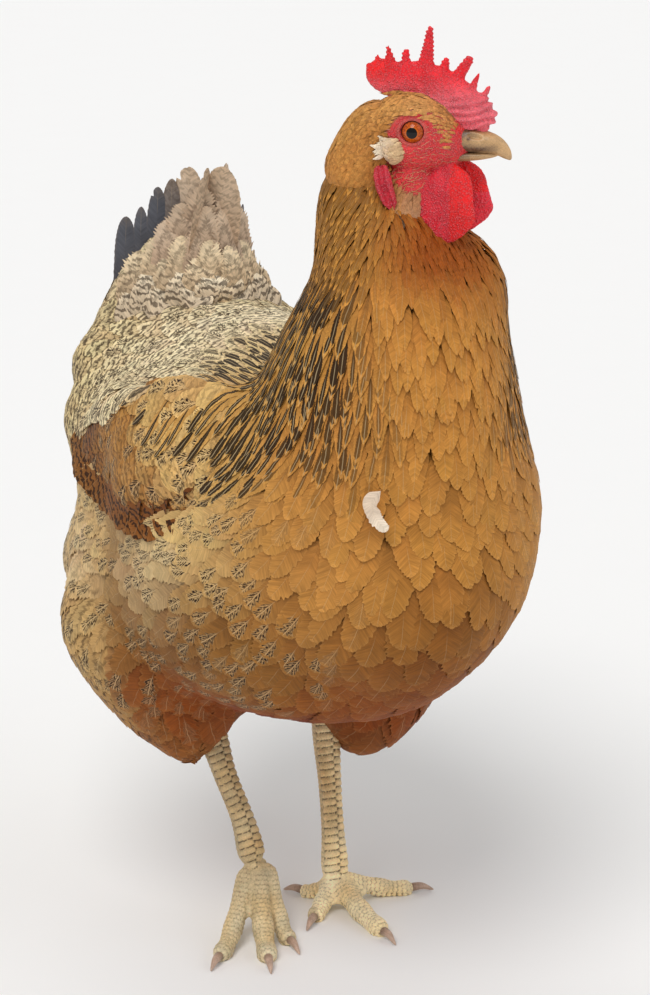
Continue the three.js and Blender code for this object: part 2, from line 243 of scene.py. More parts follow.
class Surface:
    """A body's surface in the bird frame, with its neighbours, normals and nearest points."""

    def __init__(self, verts, faces):
        self.verts, self.faces = verts, faces
        self.refresh()

    def refresh(self):
        self.tris = np.array([(face[0], face[i], face[i + 1]) for face in self.faces
                              for i in range(1, len(face) - 1)])
        edges = np.vstack([self.tris[:, [0, 1]], self.tris[:, [1, 2]], self.tris[:, [2, 0]]])
        self.edges = np.unique(np.sort(edges, 1), axis=0)
        self.normals = self.find_normals()

    def find_normals(self):
        a, b, c = (self.verts[self.tris[:, i]] for i in range(3))
        face = np.cross(b - a, c - a)
        out = np.zeros_like(self.verts)
        for axis in range(3):
            for corner in range(3):
                out[:, axis] += np.bincount(self.tris[:, corner], face[:, axis], len(self.verts))
        return unit(out)

    def mean_round(self, values):
        """Each vertex's mean over its neighbours."""
        values = np.asarray(values, float)
        flat = values.reshape(len(values), -1)
        a, b = self.edges.T
        count = np.bincount(a, minlength=len(flat)) + np.bincount(b, minlength=len(flat))
        out = np.empty_like(flat)
        for i in range(flat.shape[1]):
            out[:, i] = (np.bincount(a, flat[b, i], len(flat)) + np.bincount(b, flat[a, i], len(flat)))
        return (out / np.maximum(count, 1)[:, None]).reshape(values.shape)

    def smooth(self, times, amount=0.5, weight=None):
        for _ in range(times):
            step = (self.mean_round(self.verts) - self.verts) * amount
            self.verts = self.verts + (step if weight is None else step * weight[:, None])
        self.normals = self.find_normals()

    def fill(self, times):
        """Raises the hollows and leaves the rest."""
        for _ in range(times):
            rise = ((self.mean_round(self.verts) - self.verts) * self.normals).sum(1)
            self.swell(np.maximum(rise - .02, 0))

    def swell(self, height):
        self.verts = self.verts + self.normals * np.asarray(height)[:, None]
        self.normals = self.find_normals()

    def tree(self):
        self.bvh = BVHTree.FromPolygons(self.verts.tolist(), self.tris.tolist())
        self.face_normals = unit(self.normals[self.tris].sum(1))
        return self

    def nearest(self, points):
        spots, normals = np.empty_like(points), np.empty_like(points)
        for i, p in enumerate(points.tolist()):
            spot, _, index, _ = self.bvh.find_nearest(p)
            spots[i] = spot
            normals[i] = self.face_normals[index]
        return spots, normals


# ---------------------------------------------------------------- the lie of the coat
# A zone a line: name | place | way the feathers point | reach of its influence | feather length,
# width and spacing | depth of the coat | colour | how strong the ticks by the shaft, the lace, the
# flecks and the dark middle are | taper (0 round, 1 lance) and fluff. Zones off the middle are on
# both sides. The tables after WING_ZONES are in the head's own frame, from the middle of the eyes.
# The belly and the lower breast are given a darker rust than the breast above, partly the feathers' own
# colour and partly painted shade under the body.
BODY_ZONES = """
nape | -8 -40 412 | .1 .25 -.96 | 22 | 20 3.6 2.9 | 5 | 198 138 58 | 0 0 .1 .45 | .7 .3
nape_top | -10 -52 440 | .1 .3 -.95 | 16 | 12 2.6 2.1 | 3 | 204 146 68 | 0 0 .1 .3 | .6 .3
hackle_back | 0 -12 360 | 0 .3 -.95 | 30 | 44 8 6 | 8 | 206 162 88 | 0 0 0 1 | .95 0
hackle_low_back | 0 12 320 | 0 .75 -.66 | 30 | 48 8.4 6.6 | 9 | 214 182 122 | 0 0 .1 .95 | .95 0
neck_side_top | -30 -66 398 | -.25 .1 -.96 | 22 | 22 3.6 3.0 | 6 | 200 138 58 | 0 0 0 .35 | .85 .3
hackle_side | -46 -64 352 | -.2 .15 -.96 | 24 | 42 7.6 5.6 | 8 | 200 150 74 | 0 0 0 1 | .95 0
cape | -68 -46 306 | -.15 .3 -.94 | 26 | 48 8.4 6.6 | 9 | 206 160 88 | 0 0 0 1 | .95 0
throat | 12 -96 402 | .1 -.15 -.98 | 20 | 16 3.6 2.9 | 5 | 148 70 12 | 0 0 0 .05 | .6 .5
front_neck | 6 -126 346 | .04 -.1 -1 | 32 | 30 9 6.4 | 8 | 196 134 60 | 0 0 0 .05 | .7 .2
neck_front_side | -46 -108 330 | -.15 0 -1 | 28 | 36 8 6.2 | 8 | 190 132 62 | 0 0 0 .5 | .85 .1
breast_top | 0 -138 285 | 0 0 -1 | 40 | 40 16 10.5 | 9 | 188 130 58 | 0 0 0 0 | .35 .32
breast_top_side | -64 -112 262 | -.1 .4 -.9 | 36 | 40 14.5 10 | 9 | 188 132 64 | .25 0 0 0 | .15 .32
breast | 0 -146 225 | 0 .15 -1 | 42 | 46 21 13.5 | 10 | 131 80 30 | 0 0 0 0 | .1 .38
breast_side | -78 -88 215 | 0 .78 -.62 | 38 | 44 16 11 | 10 | 142 94 38 | .7 0 0 0 | .1 .4
breast_low | -20 -122 168 | 0 .74 -.66 | 40 | 46 18 12.2 | 10 | 134 68 18 | .12 0 0 0 | .1 .42
shoulder | -84 -58 258 | -.05 .84 -.52 | 28 | 40 14.5 10.2 | 10 | 214 180 118 | .9 0 0 0 | .1 .4
flank | -100 -10 200 | 0 .86 -.5 | 38 | 46 15 10.5 | 10 | 129 85 35 | 1 0 0 0 | .1 .55
flank_rear | -100 60 212 | 0 .85 -.5 | 34 | 44 15 10.3 | 10 | 208 176 122 | .9 .3 0 0 | .1 .7
belly_side | -80 -10 145 | 0 .9 -.4 | 34 | 44 16 11 | 10 | 132 64 16 | .25 0 0 0 | .1 .55
belly | 0 -40 122 | 0 1 -.05 | 48 | 44 20 13.5 | 10 | 112 38 5 | 0 0 0 0 | .1 .5
belly_rear | 0 70 112 | 0 1 0 | 48 | 42 17 11.5 | 10 | 156 104 56 | 0 .1 0 0 | .1 .8
vent | 0 165 145 | 0 .85 -.3 | 44 | 48 20 12 | 12 | 210 190 154 | 0 .4 .4 0 | .1 1
flank_high | -100 -14 222 | 0 .9 -.42 | 20 | 42 14.5 10.3 | 10 | 226 200 150 | 1 .1 0 0 | .1 .7
fringe | -95 -36 234 | 0 .97 .14 | 15 | 32 10 7 | 11 | 232 212 164 | .8 0 0 0 | .4 1
downy | -103 64 212 | 0 .9 -.3 | 15 | 40 18 11 | 9 | 236 226 204 | 0 0 .1 0 | .1 1
rear_fluff | -70 150 175 | -.1 .85 -.5 | 38 | 44 15 10.5 | 12 | 226 208 170 | .4 .7 .3 0 | .1 .9
rear | 0 188 216 | 0 .35 -.93 | 36 | 44 18 11.5 | 11 | 216 200 168 | 0 .3 .4 0 | .1 .9
under_tail | 0 198 272 | 0 .5 .85 | 24 | 46 20 12 | 10 | 214 198 166 | 0 .2 .3 0 | .1 .6
thigh_top | -106 60 185 | 0 .6 -.8 | 30 | 42 19 12 | 9 | 182 146 92 | .3 .9 0 0 | .1 .5
thigh | -106 62 150 | .1 .35 -.93 | 26 | 36 17 11 | 8 | 166 122 66 | .1 1 0 0 | .1 .45
thigh_low | -76 56 112 | .35 -.05 -.93 | 24 | 30 14 9 | 7 | 142 86 36 | 0 .8 0 0 | .2 .6
hock | -46 44 88 | .2 0 -1 | 16 | 18 8 5.5 | 3.5 | 116 66 28 | 0 0 0 0 | .3 .8
thigh_inside | -30 50 118 | 0 .1 -1 | 22 | 30 14 9 | 8 | 122 72 32 | 0 0 0 0 | .1 .7
back | 0 50 318 | 0 1 0 | 40 | 40 16 10.5 | 8 | 244 230 194 | .5 .4 .85 0 | .2 .15
saddle | -54 70 306 | -.35 .9 -.3 | 32 | 42 14 9.5 | 9 | 238 220 176 | .6 .4 .88 0 | .4 .1
rump | 0 112 322 | 0 .75 .66 | 28 | 38 15 10 | 8 | 230 212 170 | .3 .4 .85 0 | .2 .2
rump_side | -72 130 285 | -.4 .85 -.25 | 32 | 42 16 10.5 | 10 | 216 194 144 | .3 .6 .85 0 | .15 .2
tail_front | 0 128 350 | 0 .15 1 | 26 | 34 15 8.5 | 7 | 208 180 146 | 0 .5 .4 0 | .1 .4
tail_side | -42 165 325 | -.2 .75 .6 | 26 | 22 15 9 | 8 | 222 204 164 | .1 .4 .55 0 | .1 .35
tail_rear | 0 200 310 | 0 .1 1 | 30 | 26 16 10.5 | 8 | 206 190 160 | 0 .3 .6 0 | .1 .5
tail_base_side | -64 165 275 | -.35 .75 .4 | 28 | 40 16 10.5 | 10 | 212 186 138 | .1 .6 .8 0 | .1 .3
"""
WING_ZONES = """
wing_front | -90 -40 300 | -.05 .9 -.4 | 26 | 34 15 9 | 8.2 | 220 180 114 | .8 .2 .3 0 | .1 .1
wing_mid | -102 14 284 | -.02 .84 -.54 | 28 | 40 17 10 | 8.2 | 180 128 62 | .9 .3 .5 0 | .1 .1
wing_fore_low | -89 -32 267 | 0 .62 -.78 | 17 | 32 14 9 | 7.5 | 158 102 46 | .6 0 .8 0 | .2 .1
wing_low | -102 30 250 | 0 .5 -.86 | 30 | 46 17 10 | 8.2 | 121 69 23 | .5 .1 .9 0 | .15 .05
wing_rear | -98 95 262 | .02 .48 -.88 | 26 | 52 17 11 | 8.2 | 130 84 40 | .2 0 1 0 | .2 0
wing_tip | -78 146 252 | .06 .6 -.8 | 22 | 50 16 10 | 8.2 | 122 75 31 | 0 0 1 0 | .3 0
"""
HEAD_ZONES = """
brow | -12 -6 10 | -.05 1 .02 | 7 | 8 1.7 1.5 | .8 | 228 168 100 | 0 0 .3 .1 | .6 .3
crown_front | -10 -16 6 | -.1 .95 .1 | 6 | 6 1.4 1.3 | .6 | 216 150 86 | 0 0 .4 .1 | .6 .3
crown_side | -13 8 13 | -.1 1 -.05 | 8 | 12 2.1 1.8 | 1.4 | 222 162 90 | 0 0 .4 .1 | .6 .3
nape_top | -5 22 10 | -.1 .8 -.6 | 9 | 16 2.6 1.9 | 2.0 | 214 154 80 | 0 0 .3 .2 | .7 .2
behind_eye | -16 14 1 | -.1 1 -.25 | 8 | 12 2.0 1.7 | 1.4 | 206 142 72 | 0 0 .4 .1 | .6 .3
cheek_back | -16 17 -14 | -.2 .6 -.8 | 9 | 14 2.3 1.9 | 1.6 | 202 140 70 | 0 0 .2 0 | .6 .3
jaw_back | -14 12 -32 | -.15 .35 -.93 | 10 | 15 2.5 2.0 | 1.8 | 200 138 66 | 0 0 .1 0 | .5 .5
jaw | -13 0 -30 | -.1 .25 -.95 | 8 | 10 2.0 1.5 | 1.0 | 196 144 104 | 0 0 .2 0 | .5 .6
jaw_fluff | -14 5 -42 | -.1 .3 -.95 | 8 | 11 2.0 1.6 | 1.8 | 228 214 192 | 0 0 0 0 | .5 .9
chin | 0 -8 -24 | 0 .2 -.98 | 8 | 9 2.6 1.7 | 1.2 | 168 92 44 | 0 0 0 0 | .4 .6
throat_top | 0 -8 -44 | 0 -.1 -1 | 12 | 16 4.6 2.8 | 2.2 | 182 118 58 | 0 0 0 0 | .4 .4
"""
BRISTLE_ZONES = """
face | -14 -4 -14 | -.2 .95 -.15 | 14 | 3.4 .26 1.9 | .7 | 226 158 128 | 0 0 0 0 | .9 0
face_low | -14 2 -26 | -.2 .78 -.6 | 10 | 5.5 .36 1.5 | .9 | 206 140 86 | 0 0 0 0 | .9 0
lore | -9 -16 -4 | -.2 .8 .3 | 7 | 2.6 .26 1.7 | .5 | 206 150 118 | 0 0 0 0 | .9 0
"""
TUFT_ZONES = """
ear | -17 13 -9 | -.3 1 -.12 | 5 | 7.5 2.2 1.0 | 2.3 | 252 236 210 | 0 0 0 0 | .7 .2
ear_front | -17 6 -10 | -.15 1 -.16 | 4 | 7 1.5 .9 | 1.6 | 236 204 158 | 0 0 0 0 | .7 .2
"""
BODY_MIDDLE, HEAD_MIDDLE = 14, 2  # a zone further out than this is on both sides
FIELDS = ["length", "width", "spacing", "depth", "r", "g", "b",
          "tick", "lace", "fleck", "stripe", "taper", "fluff"]


class Lie:
    """The coat's lie and kind anywhere on a body, blended from its zones."""

    def __init__(self, zones, on_head=False):
        rows = []
        for line in zones.strip().splitlines():
            at, way, reach, size, depth, colour, marks, shape = (
                [float(value) for value in group.split()] for group in line.split("|")[1:])
            for side in (1, -1)[:2 if abs(at[0]) > (HEAD_MIDDLE if on_head else BODY_MIDDLE) else 1]:
                rows.append([at[0] * side, *at[1:], way[0] * side, *way[1:], *reach, *size, *depth,
                             *linear(colour), *marks, *shape])
        self.place, self.way, self.reach, self.values = np.split(np.array(rows), (3, 6, 7), axis=1)
        self.way, self.reach = unit(self.way), self.reach[:, 0]
        if on_head:
            self.place, self.way = from_head(self.place), self.way @ TURN.T

    def weights(self, points):
        gap = ((points[:, None] - self.place[None]) ** 2).sum(-1)
        w = np.exp(-gap / (2 * (0.62 * self.reach) ** 2)) + 1e-9 / (1 + gap)
        return w / w.sum(1, keepdims=True)

    def at(self, points):
        w = self.weights(np.asarray(points, float))
        found = dict(zip(FIELDS, (w @ self.values).T))
        return w @ self.way, found


# ---------------------------------------------------------------- flesh under the coat
def node_part(*names):
    parts = []
    for name in names:
        co, faces = arrays_of(NODES[name].data)
        parts.append((bird(co), faces))
    return joined(parts)


def distances(part, points):
    bvh = BVHTree.FromPolygons(part[0].tolist(), part[1])
    return np.array([bvh.find_nearest(p)[3] for p in np.asarray(points).tolist()])


body_lie, wing_lie = Lie(BODY_ZONES), Lie(WING_ZONES)
WINGS = ["wing_left", "wing_right"]
REST = ["trunk", "neck", "tail", "thigh_left", "thigh_right"]
CORE_VOXEL, SHELL_VOXEL = 3.6, 2.6

BULGES = [  # place, reach, how far the coat stands out there beyond the solids, on both sides ...
    ((38, -90, 378), 15, 10), ((42, -91, 358), 13, 3), ((88, -47, 290), 20, -3), ((75, -85, 250), 25, 3),
    ((70, -86, 195), 20, -5), ((44, -93, 168), 20, -8), ((-64, 152, 266), 22, 10), ((-83, 143, 215), 19, -8),
    ((-86, 132, 178), 19, 6), ((-106, 88, 168), 20, 5), ((-70, 146, 250), 16, 5), ((-104, 60, 240), 19, -10),
    ((-94, 66, 110), 20, -6), ((-69, -12, 297), 16, 6), ((-68, 20, 288), 16, 8), ((-68, 52, 286), 16, 7),
    ((-72, 82, 280), 14, 5),
]
ON_THE_LEFT = BULGES[:1]  # ... apart from this one
shell = Surface(*remeshed(node_part(*WINGS, *REST), SHELL_VOXEL))
shell.smooth(3)
for bulge in BULGES:
    place, reach, amount = bulge
    for side in (1, -1)[:1 if bulge in ON_THE_LEFT else 2]:
        gap = norm(shell.verts - np.array(place) * (side, 1, 1), axis=1)
        shell.swell(amount * np.exp(-gap ** 2 / (2 * reach ** 2)))
shell.smooth(4)
shell_part = (shell.verts, shell.faces)
core = Surface(*remeshed(shell_part, CORE_VOXEL))
core.smooth(4)
core.fill(40)
core.swell(-body_lie.at(core.verts)[1]["depth"])
core = Surface(*remeshed((core.verts, core.faces), CORE_VOXEL))
for _ in range(4):
    core.smooth(4)
    short = distances(shell_part, core.verts) - body_lie.at(core.verts)[1]["depth"]
    core.swell(np.clip(short, -3, 3) * 0.7)
core.fill(20)
core.smooth(6)
core.tree()
outer = core.verts + core.normals * body_lie.at(core.verts)[1]["depth"][:, None]
on_wing = distances(node_part(*WINGS), outer) + 0.5 < distances(node_part(*REST), outer)

# ---------------------------------------------------------------- head skin
EYE_SPREAD, EYE_RADIUS = 11.4, 6.0
SKULL = dict(
    path=[(0, 24.6, -3.6), (0, 10.9, -1.8), (0, -3.6, -3.6), (0, -14.6, -6.4), (0, -24.6, -8.2)],
    sizes=[(13.7, 13.7, 16.4), (17.3, 18.2, 21.8), (15.9, 18.2, 20), (11.8, 13.7, 13.7), (8.2, 9.1, 8.2)],
    sides=72, ends=(0.45, 0.3))
THROAT = dict(
    path=[(0, 2, -10), (0, 3, -24), (0, 8, -40), (0, 14, -58)],
    sizes=[(12, 11, 12), (13, 13, 14), (17, 17, 17), (22, 22, 20)],
    rings=40, ends=(.3, .3))
NAPE = dict(
    path=[(0, 10, 2), (0, 20, -4), (0, 27, -18), (0, 31, -36)],
    sizes=[(12, 11, 12), (14, 14, 14), (17, 16, 16), (19, 18, 18)],
    rings=40, ends=(.3, .3))


def wattle(swing):
    return dict(
        path=[(-4.5, -17.3, -14.6), (-7.3, -15.9 - .3 * swing, -23.7),
              (-9.1, -12.3 - .6 * swing, -36.4 + .2 * swing),
              (-9.6, -11.4 - .8 * swing, -52.8 + .5 * swing)],
        sizes=[(3.6, 5.5, 5.5), (3.6, 10.5, 12.3), (3.2, 16.5, 17.7), (2.6, 14.8, 15.6)],
        side=(-1, 0, 0), sides=64, ends=(0.2, 0.30))


LOBE = dict(
    path=[(-16.4, 14.6, -14.6), (-18.2, 12.7, -21.8), (-18.2, 10, -30), (-17.3, 7.3, -38.2)],
    sizes=[(2.4, 3.6, 3.6), (2.8, 4.4, 4.4), (2.5, 3.6, 3.6), (1.8, 2, 2)],
    side=(-1, 0, 0), ends=(0.3, 0.4),
    relief=lambda t, angle, girth: -1.5 * bump(np.minimum(angle, TAU - angle), .42) + 0 * t)
LEFT_WATTLE_SWING = 5
HEAD_VOXEL = 0.56
SKULL_PART, COMB_PART, WATTLE_PART, LOBE_PART = range(4)

COMB_BLADE = dict(
    path=[(0, 26.5, 27.3), (0, 21, 24), (0, 12, 21), (0, 3, 22.3), (0, -6, 20.5), (0, -14, 15.5),
          (0, -22, 9.8), (0, -29, 7), (0, -35.5, 6)],
    sizes=[(1.8, 2.0, 2.0), (2.2, 7.2, 7.2), (2.8, 8.4, 8.4), (3.6, 7.4, 7.4), (4.6, 8.2, 8.2),
           (5.4, 9.6, 9.6), (6.0, 9.0, 9.0), (5.6, 8.4, 8.4), (3.6, 6.0, 6.0)],
    rings=70, ends=(.08, .14))
COMB_SPIKES = [  # foot, tip, half width at the foot and at the tip, [sideways, along]
    ((21.5, 26), (20.7, 32.0), (2.0, 3.0), (1.0, 1.0)),
    ((14.4, 25), (16.1, 37.0), (2.3, 3.6), (.9, .7)),
    ((7.4, 25), (7.4, 35.2), (2.0, 1.9), (1.4, 1.8)),
    ((-1.6, 24), (-4.2, 46.8), (3.4, 4.4), (1.3, 1.2)),
    ((-10.0, 22), (-11.6, 32.0), (2.6, 2.6), (1.6, 1.8)),
    ((-13.6, 18), (-23.6, 33.6), (3.2, 3.6), (1.9, 2.0)),
    ((-22.0, 14), (-27.4, 26.4), (2.8, 2.8), (.9, .7)),
    ((-27.6, 12), (-32.4, 20.8), (3.0, 2.6), (1.0, .9)),
]


def comb_spike(foot, tip, wide, narrow):
    path = [(0, *foot), (0, (foot[0] + tip[0]) / 2, (foot[1] + tip[1]) / 2), (0, *tip)]
    middle = [(a + b) / 2 for a, b in zip(wide, narrow)]
    sizes = [(across, along, along) for across, along in (wide, middle, narrow)]
    return sweep(path, sizes, (1, 0, 0), 30, 28, (.05, .12))


comb_part = joined([sweep(**COMB_BLADE)] + [comb_spike(*spike) for spike in COMB_SPIKES])
wattles = joined([sweep(**wattle(0)), flipped(sweep(**wattle(LEFT_WATTLE_SWING)))])
lobes = joined([sweep(**LOBE), flipped(sweep(**LOBE))])
skull_part = joined([sweep(**SKULL), sweep(**THROAT), sweep(**NAPE)])
head_sources = [skull_part, comb_part, wattles, lobes]
head = Surface(*remeshed(joined(head_sources), HEAD_VOXEL))
head.smooth(4)
apart = np.array([distances(part, head.verts) for part in head_sources])
head_part = apart.argmin(0)
bare_comb = head_part == COMB_PART
head.smooth(3, weight=bare_comb * 0.6)


def cells(points, size, seed=0.0):
    """Distance to the nearest and second nearest of scattered points, in shares of a cell."""
    out = np.empty((len(points), 2))
    for i, p in enumerate((np.asarray(points) / size + seed).tolist()):
        gap = noise.voronoi(p)[0]
        out[i] = gap[0], gap[1]
    return out


def lumps(points, size, seed=0.0):
    return np.array([noise.noise(p) for p in (np.asarray(points) / size + seed).tolist()])


x, y, z = head.verts.T
eye_r = np.hypot(y / 1.06, z / 0.94)
sideways = ramp(np.abs(x), 8, 12) * (head_part == SKULL_PART)
basin = -1.0 * (1 - ramp(eye_r, 6.2, 10))
socket = -3.4 * (1 - ramp(eye_r, 4.5, 5.5))
lid = 0.55 * bump(eye_r - 6.1, 0.7) + 0.25 * bump(eye_r - 8.4, 0.6)
crease = -0.3 * bump(eye_r - 7.3, 0.45)
wrinkles = 0.12 * np.cos(TAU * eye_r / 1.5) * ramp(eye_r, 8, 9.5) * (1 - ramp(eye_r, 13, 17))
brow = 0.9 * np.exp(-((z - 8.5) / 3) ** 2 - ((y + 3) / 9) ** 2)
height = sideways * (basin + socket + lid + crease + wrinkles + brow)
fleshy = ramp(eye_r, 8.5, 11) * (head_part == SKULL_PART) + (head_part != SKULL_PART)
grain = cells(head.verts, 1.5)
papillae = 0.46 * np.clip(1 - 1.5 * grain[:, 0], 0, 1) - 0.14
folds = 0.5 * lumps(head.verts * np.array([1, 1, .6]), 6.5, 3)
on_lobe = head_part == LOBE_PART
on_wattle = head_part == WATTLE_PART
height += fleshy * papillae * np.where(bare_comb, .8, np.where(on_wattle, .7, 1.0))
height += folds * np.where(bare_comb, .7, np.where(on_wattle, .8, np.where(on_lobe, 1.0, .35 * fleshy)))
ridges = 0.34 * np.sin(TAU * (z - .25 * y) / 1.9 + 2 * lumps(head.verts, 5, 9))
creases = 0.80 * np.sin(TAU * (z + .2 * y) / 3.6 + 3 * lumps(head.verts, 8, 5))
creases = creases * ramp(-y, 10, 20) * (1 - ramp(z, 12, 18))
height += np.where(bare_comb, ridges * ramp(z, 26, 32) + creases, 0)
fold = -16.2 - .28 * (z + 30) * (z < -30)
height += np.where(on_wattle & (x < 0), .8 * bump(y - fold, 1.1) - .5 * ramp(fold - y, 0, 3), 0)
lobe_z, lobe_y = (-38.2, -30, -21.8, -14.6), (7.3, 10, 12.7, 14.6)
across_lobe = (y - np.interp(z, lobe_z, lobe_y)) / 3.2
height += np.where(on_lobe, .5 * np.exp(-((np.abs(across_lobe) - .85) / .3) ** 2)
                   - 1.2 * bump(across_lobe, .45), 0)
head.swell(height)
head.smooth(1, 0.2)
head.verts = from_head(head.verts)
head.normals = head.find_normals()
head.tree()

# ---------------------------------------------------------------- legs
SCUTE_ROW, RING_SCUTE, BACK_SCALE = 4.0, 2.9, 2.6
LEGS = {
    "left": dict(ball=(20, 27, 12),
                 shank=[(29, 50, 130), (23, 44, 98), (21.5, 37, 66), (20.5, 31, 38), (20, 27, 13)]),
    "right": dict(ball=(-31, 22, 34),
                  shank=[(-54, 52, 132), (-44, 46, 104), (-40, 38, 82), (-34, 29, 58), (-31, 22, 35)]),
}
SHANK_SIZES = [(8.0, 8.8, 8.8), (7.6, 8.4, 8.4), (5.9, 7.2, 6.8), (6.0, 7.0, 6.6), (8.6, 7.0, 7.6)]
TOES = {  # name, heading, aside, reach, radius
    "left": [("2", -50, -3, 30, 5), ("3", 3, 0, 52, 5.6), ("4", 76, 4, 44, 5), ("1", -138, -3, 20, 4.4)],
    "right": [("2", 9, 7, 34, 5), ("3", -17, 2, 49, 5.8), ("4", -48, -3, 49, 5.3), ("1", 150, 3, 20, 4.4)],
}
TOE_JOINTS, TOE_TIP_SHARE, TOE_SINK, TOE_BEND, HANGING_FALL = (0, .35, .7, 1), .76, 1.0, 1.15, .35
CLAW_REACH, CLAW_ROOT, CLAW_ARCH, CLAW_DROP = 11, 3, 1.6, 2.2


def scutes(down, angle, girth, split_front):
    """Scales on a leg: shingles in front, pebbles behind. Returns heights in millimetres."""
    turn = (angle - math.pi / 2 + math.pi) % TAU - math.pi
    side = np.abs(turn)
    front = 1 - ramp(side, 1.20, 1.40)
    if split_front:
        along = down / SCUTE_ROW + np.where(turn > 0, 0.5, 0.0) - 0.22 * side
        seam = np.minimum(np.abs(turn + 0.12 * np.cos(TAU * down / SCUTE_ROW)), np.abs(side - 1.3))
    else:
        along = down / RING_SCUTE + 0.16 * turn ** 2
        seam = np.abs(side - 1.3)
    f = along % 1.0
    shingle = 0.42 * ramp(f, 0.0, 0.55) - 0.80 * ramp(f, .78, .94)
    edge = -0.30 * (1 - ramp(seam * girth, 0.0, 0.9))
    row = np.floor(down / BACK_SCALE)
    cell_a = (down / BACK_SCALE) % 1.0 - 0.5
    cell_b = (turn * girth / BACK_SCALE + 0.5 * (row % 2)) % 1.0 - 0.5
    pebble = 0.30 * np.clip(1 - 3.2 * (cell_a ** 2 + cell_b ** 2), 0, 1) - 0.14
    return front * (shingle + edge) + (1 - front) * pebble


def toe_path(ball, heading, aside, reach, radius, hangs):
    out = np.array([math.sin(math.radians(heading)), -math.cos(math.radians(heading)), 0])
    rows = []
    for t in TOE_JOINTS:
        point = np.array(ball, float) + out * t * reach
        point[0] += aside * (1 - t)
        low = radius * (1 + (TOE_TIP_SHARE - 1) * t) - TOE_SINK
        fall = HANGING_FALL * t if hangs else math.sin(math.pi / 2 * min(1, t * TOE_BEND))
        point[2] = ball[2] + (low - ball[2]) * fall
        rows.append(point)
    return np.array(rows)


def claw_path(toe, hangs):
    out = unit(toe[3] - toe[2])
    root, end = toe[3] - out * CLAW_ROOT, toe[3] + out * CLAW_REACH
    end[2] = end[2] - CLAW_DROP if hangs else 0.7
    middle = (root + end) / 2 + np.array([0, 0, CLAW_ARCH])
    return np.array([root, middle, end])


def flattened(part, floor=0.0):
    """The same body with whatever is below the floor laid on it."""
    verts, faces = part
    verts = verts.copy()
    verts[:, 2] = np.maximum(verts[:, 2], floor)
    return verts, faces


BONE_STEPS = 120


def bone_relief(points, bones):
    """Scale heights at points of a limb, each from the bone that it lies on."""
    gaps, heights = [], []
    for path, sizes, side, split_front in bones:
        t = np.linspace(0, 1, BONE_STEPS)
        centre, size = spline(path, t), spline(sizes, t)
        along = unit(np.gradient(centre, axis=0))
        right = unit(side[None] - along * (along @ side)[:, None])
        up = np.cross(along, right)
        run = np.concatenate([[0], np.cumsum(norm(np.diff(centre, axis=0), axis=1))])
        k = ((points[:, None] - centre[None]) ** 2).sum(-1).argmin(1)
        off = points - centre[k]
        down = run[k] + (off * along[k]).sum(1)
        angle = np.arctan2((off * up[k]).sum(1), (off * right[k]).sum(1))
        girth = size[k].mean(1)
        gaps.append(norm(off, axis=1) / girth)
        heights.append(scutes(down, angle, girth, split_front))
    gaps, heights = np.array(gaps), np.array(heights)
    order = np.argsort(gaps, axis=0)
    first, second = (np.take_along_axis(gaps, order[i:i + 1], 0)[0] for i in (0, 1))
    own = np.take_along_axis(heights, order[:1], 0)[0]
    return own * (.45 + .55 * ramp(second - first, .03, .35))


LEG_VOXEL = 0.68
legs, claw_parts = [], {}
for side_name, leg in LEGS.items():
    bones = [(leg["shank"], SHANK_SIZES, np.array([1.0, 0, 0]), True)]
    solids = [sweep(leg["shank"], SHANK_SIZES, (1, 0, 0), 80, 32, (.05, .075))]
    paths = {}
    for name, heading, aside, reach, radius in TOES[side_name]:
        hangs = side_name == "right" and name == "1"
        path = toe_path(leg["ball"], heading, aside, reach, radius, hangs)
        paths[name] = path
        sizes = [(share * radius,) * 3 for share in (1.15, 1.0, .90, 1.0, .84, .94, TOE_TIP_SHARE)]
        flat_side = np.cross(unit(path[3] - path[0]), (0, 0, 1))
        bones.append((path, sizes, flat_side, False))
        solids.append(flattened(sweep(path, sizes, flat_side, 60, 32, (.1, .14))))
        sizes = [(2.5, 2.4, 2.5), (1.9, 1.9, 2.0), (.5, .5, .5)]
        claw = sweep(claw_path(path, hangs), sizes, flat_side, 24, 20, (.15, .12))
        claw_parts[f"{side_name}_{name}"] = flattened(claw)
    for one, other in (("2", "3"), ("3", "4")):
        at = [spline(paths[name], np.array([0.0, .24, .40])) for name in (one, other)]
        web = (at[0] + at[1]) / 2
        across_web = unit(at[0][2] - at[1][2])
        wide = norm(at[0] - at[1], axis=1) / 2
        solids.append(flattened(sweep(web, [(w + 2, 2.6, 3.4) for w in wide], across_web, 30, 32, (.1, .3))))
    limb = Surface(*remeshed(joined(solids), LEG_VOXEL))
    from_ball = norm(limb.verts - np.array(leg["ball"]), axis=1)
    limb.smooth(40, weight=1 - ramp(from_ball, 10, 18))
    limb.smooth(6)
    limb.scale_height = bone_relief(limb.verts, bones)
    limb.swell(limb.scale_height)
    limb.verts[:, 2] = np.maximum(limb.verts[:, 2], 0)
    legs.append(limb.tree())


# ---------------------------------------------------------------- one skin
def united(target, tool):
    """The union of two bodies, as arrays."""
    obj = linked("tool", mesh_from("tool", *tool))
    mesh = mesh_from("target", *target)
    made = evaluated(mesh, ("BOOLEAN", {"operation": "UNION", "solver": "MANIFOLD", "object": obj}))
    bpy.data.objects.remove(obj)
    return arrays_of(made)


skin_part = (core.verts, core.faces)
for piece in (head, *legs):
    skin_part = united(skin_part, (piece.verts, piece.faces))
skin_verts, skin_faces = skin_part


# ---------------------------------------------------------------- feathers
BARB_SLANT = 0.85
ROW_CROWD = 1.5  # a vane's rows stand closer together toward the tip
TRIES = 9.0  # roots tried for each that finds room
FIRST_RISE, STEADY_RISE, TIP_CURL = 0.56, 0.40, 0.60
QUILL = 0.12
RING = 6  # left edge, left middle, shaft on top, right middle, right edge, shaft below
ACROSS = np.array([-1, -.5, 0, .5, 1, 0])
STEPS = 6


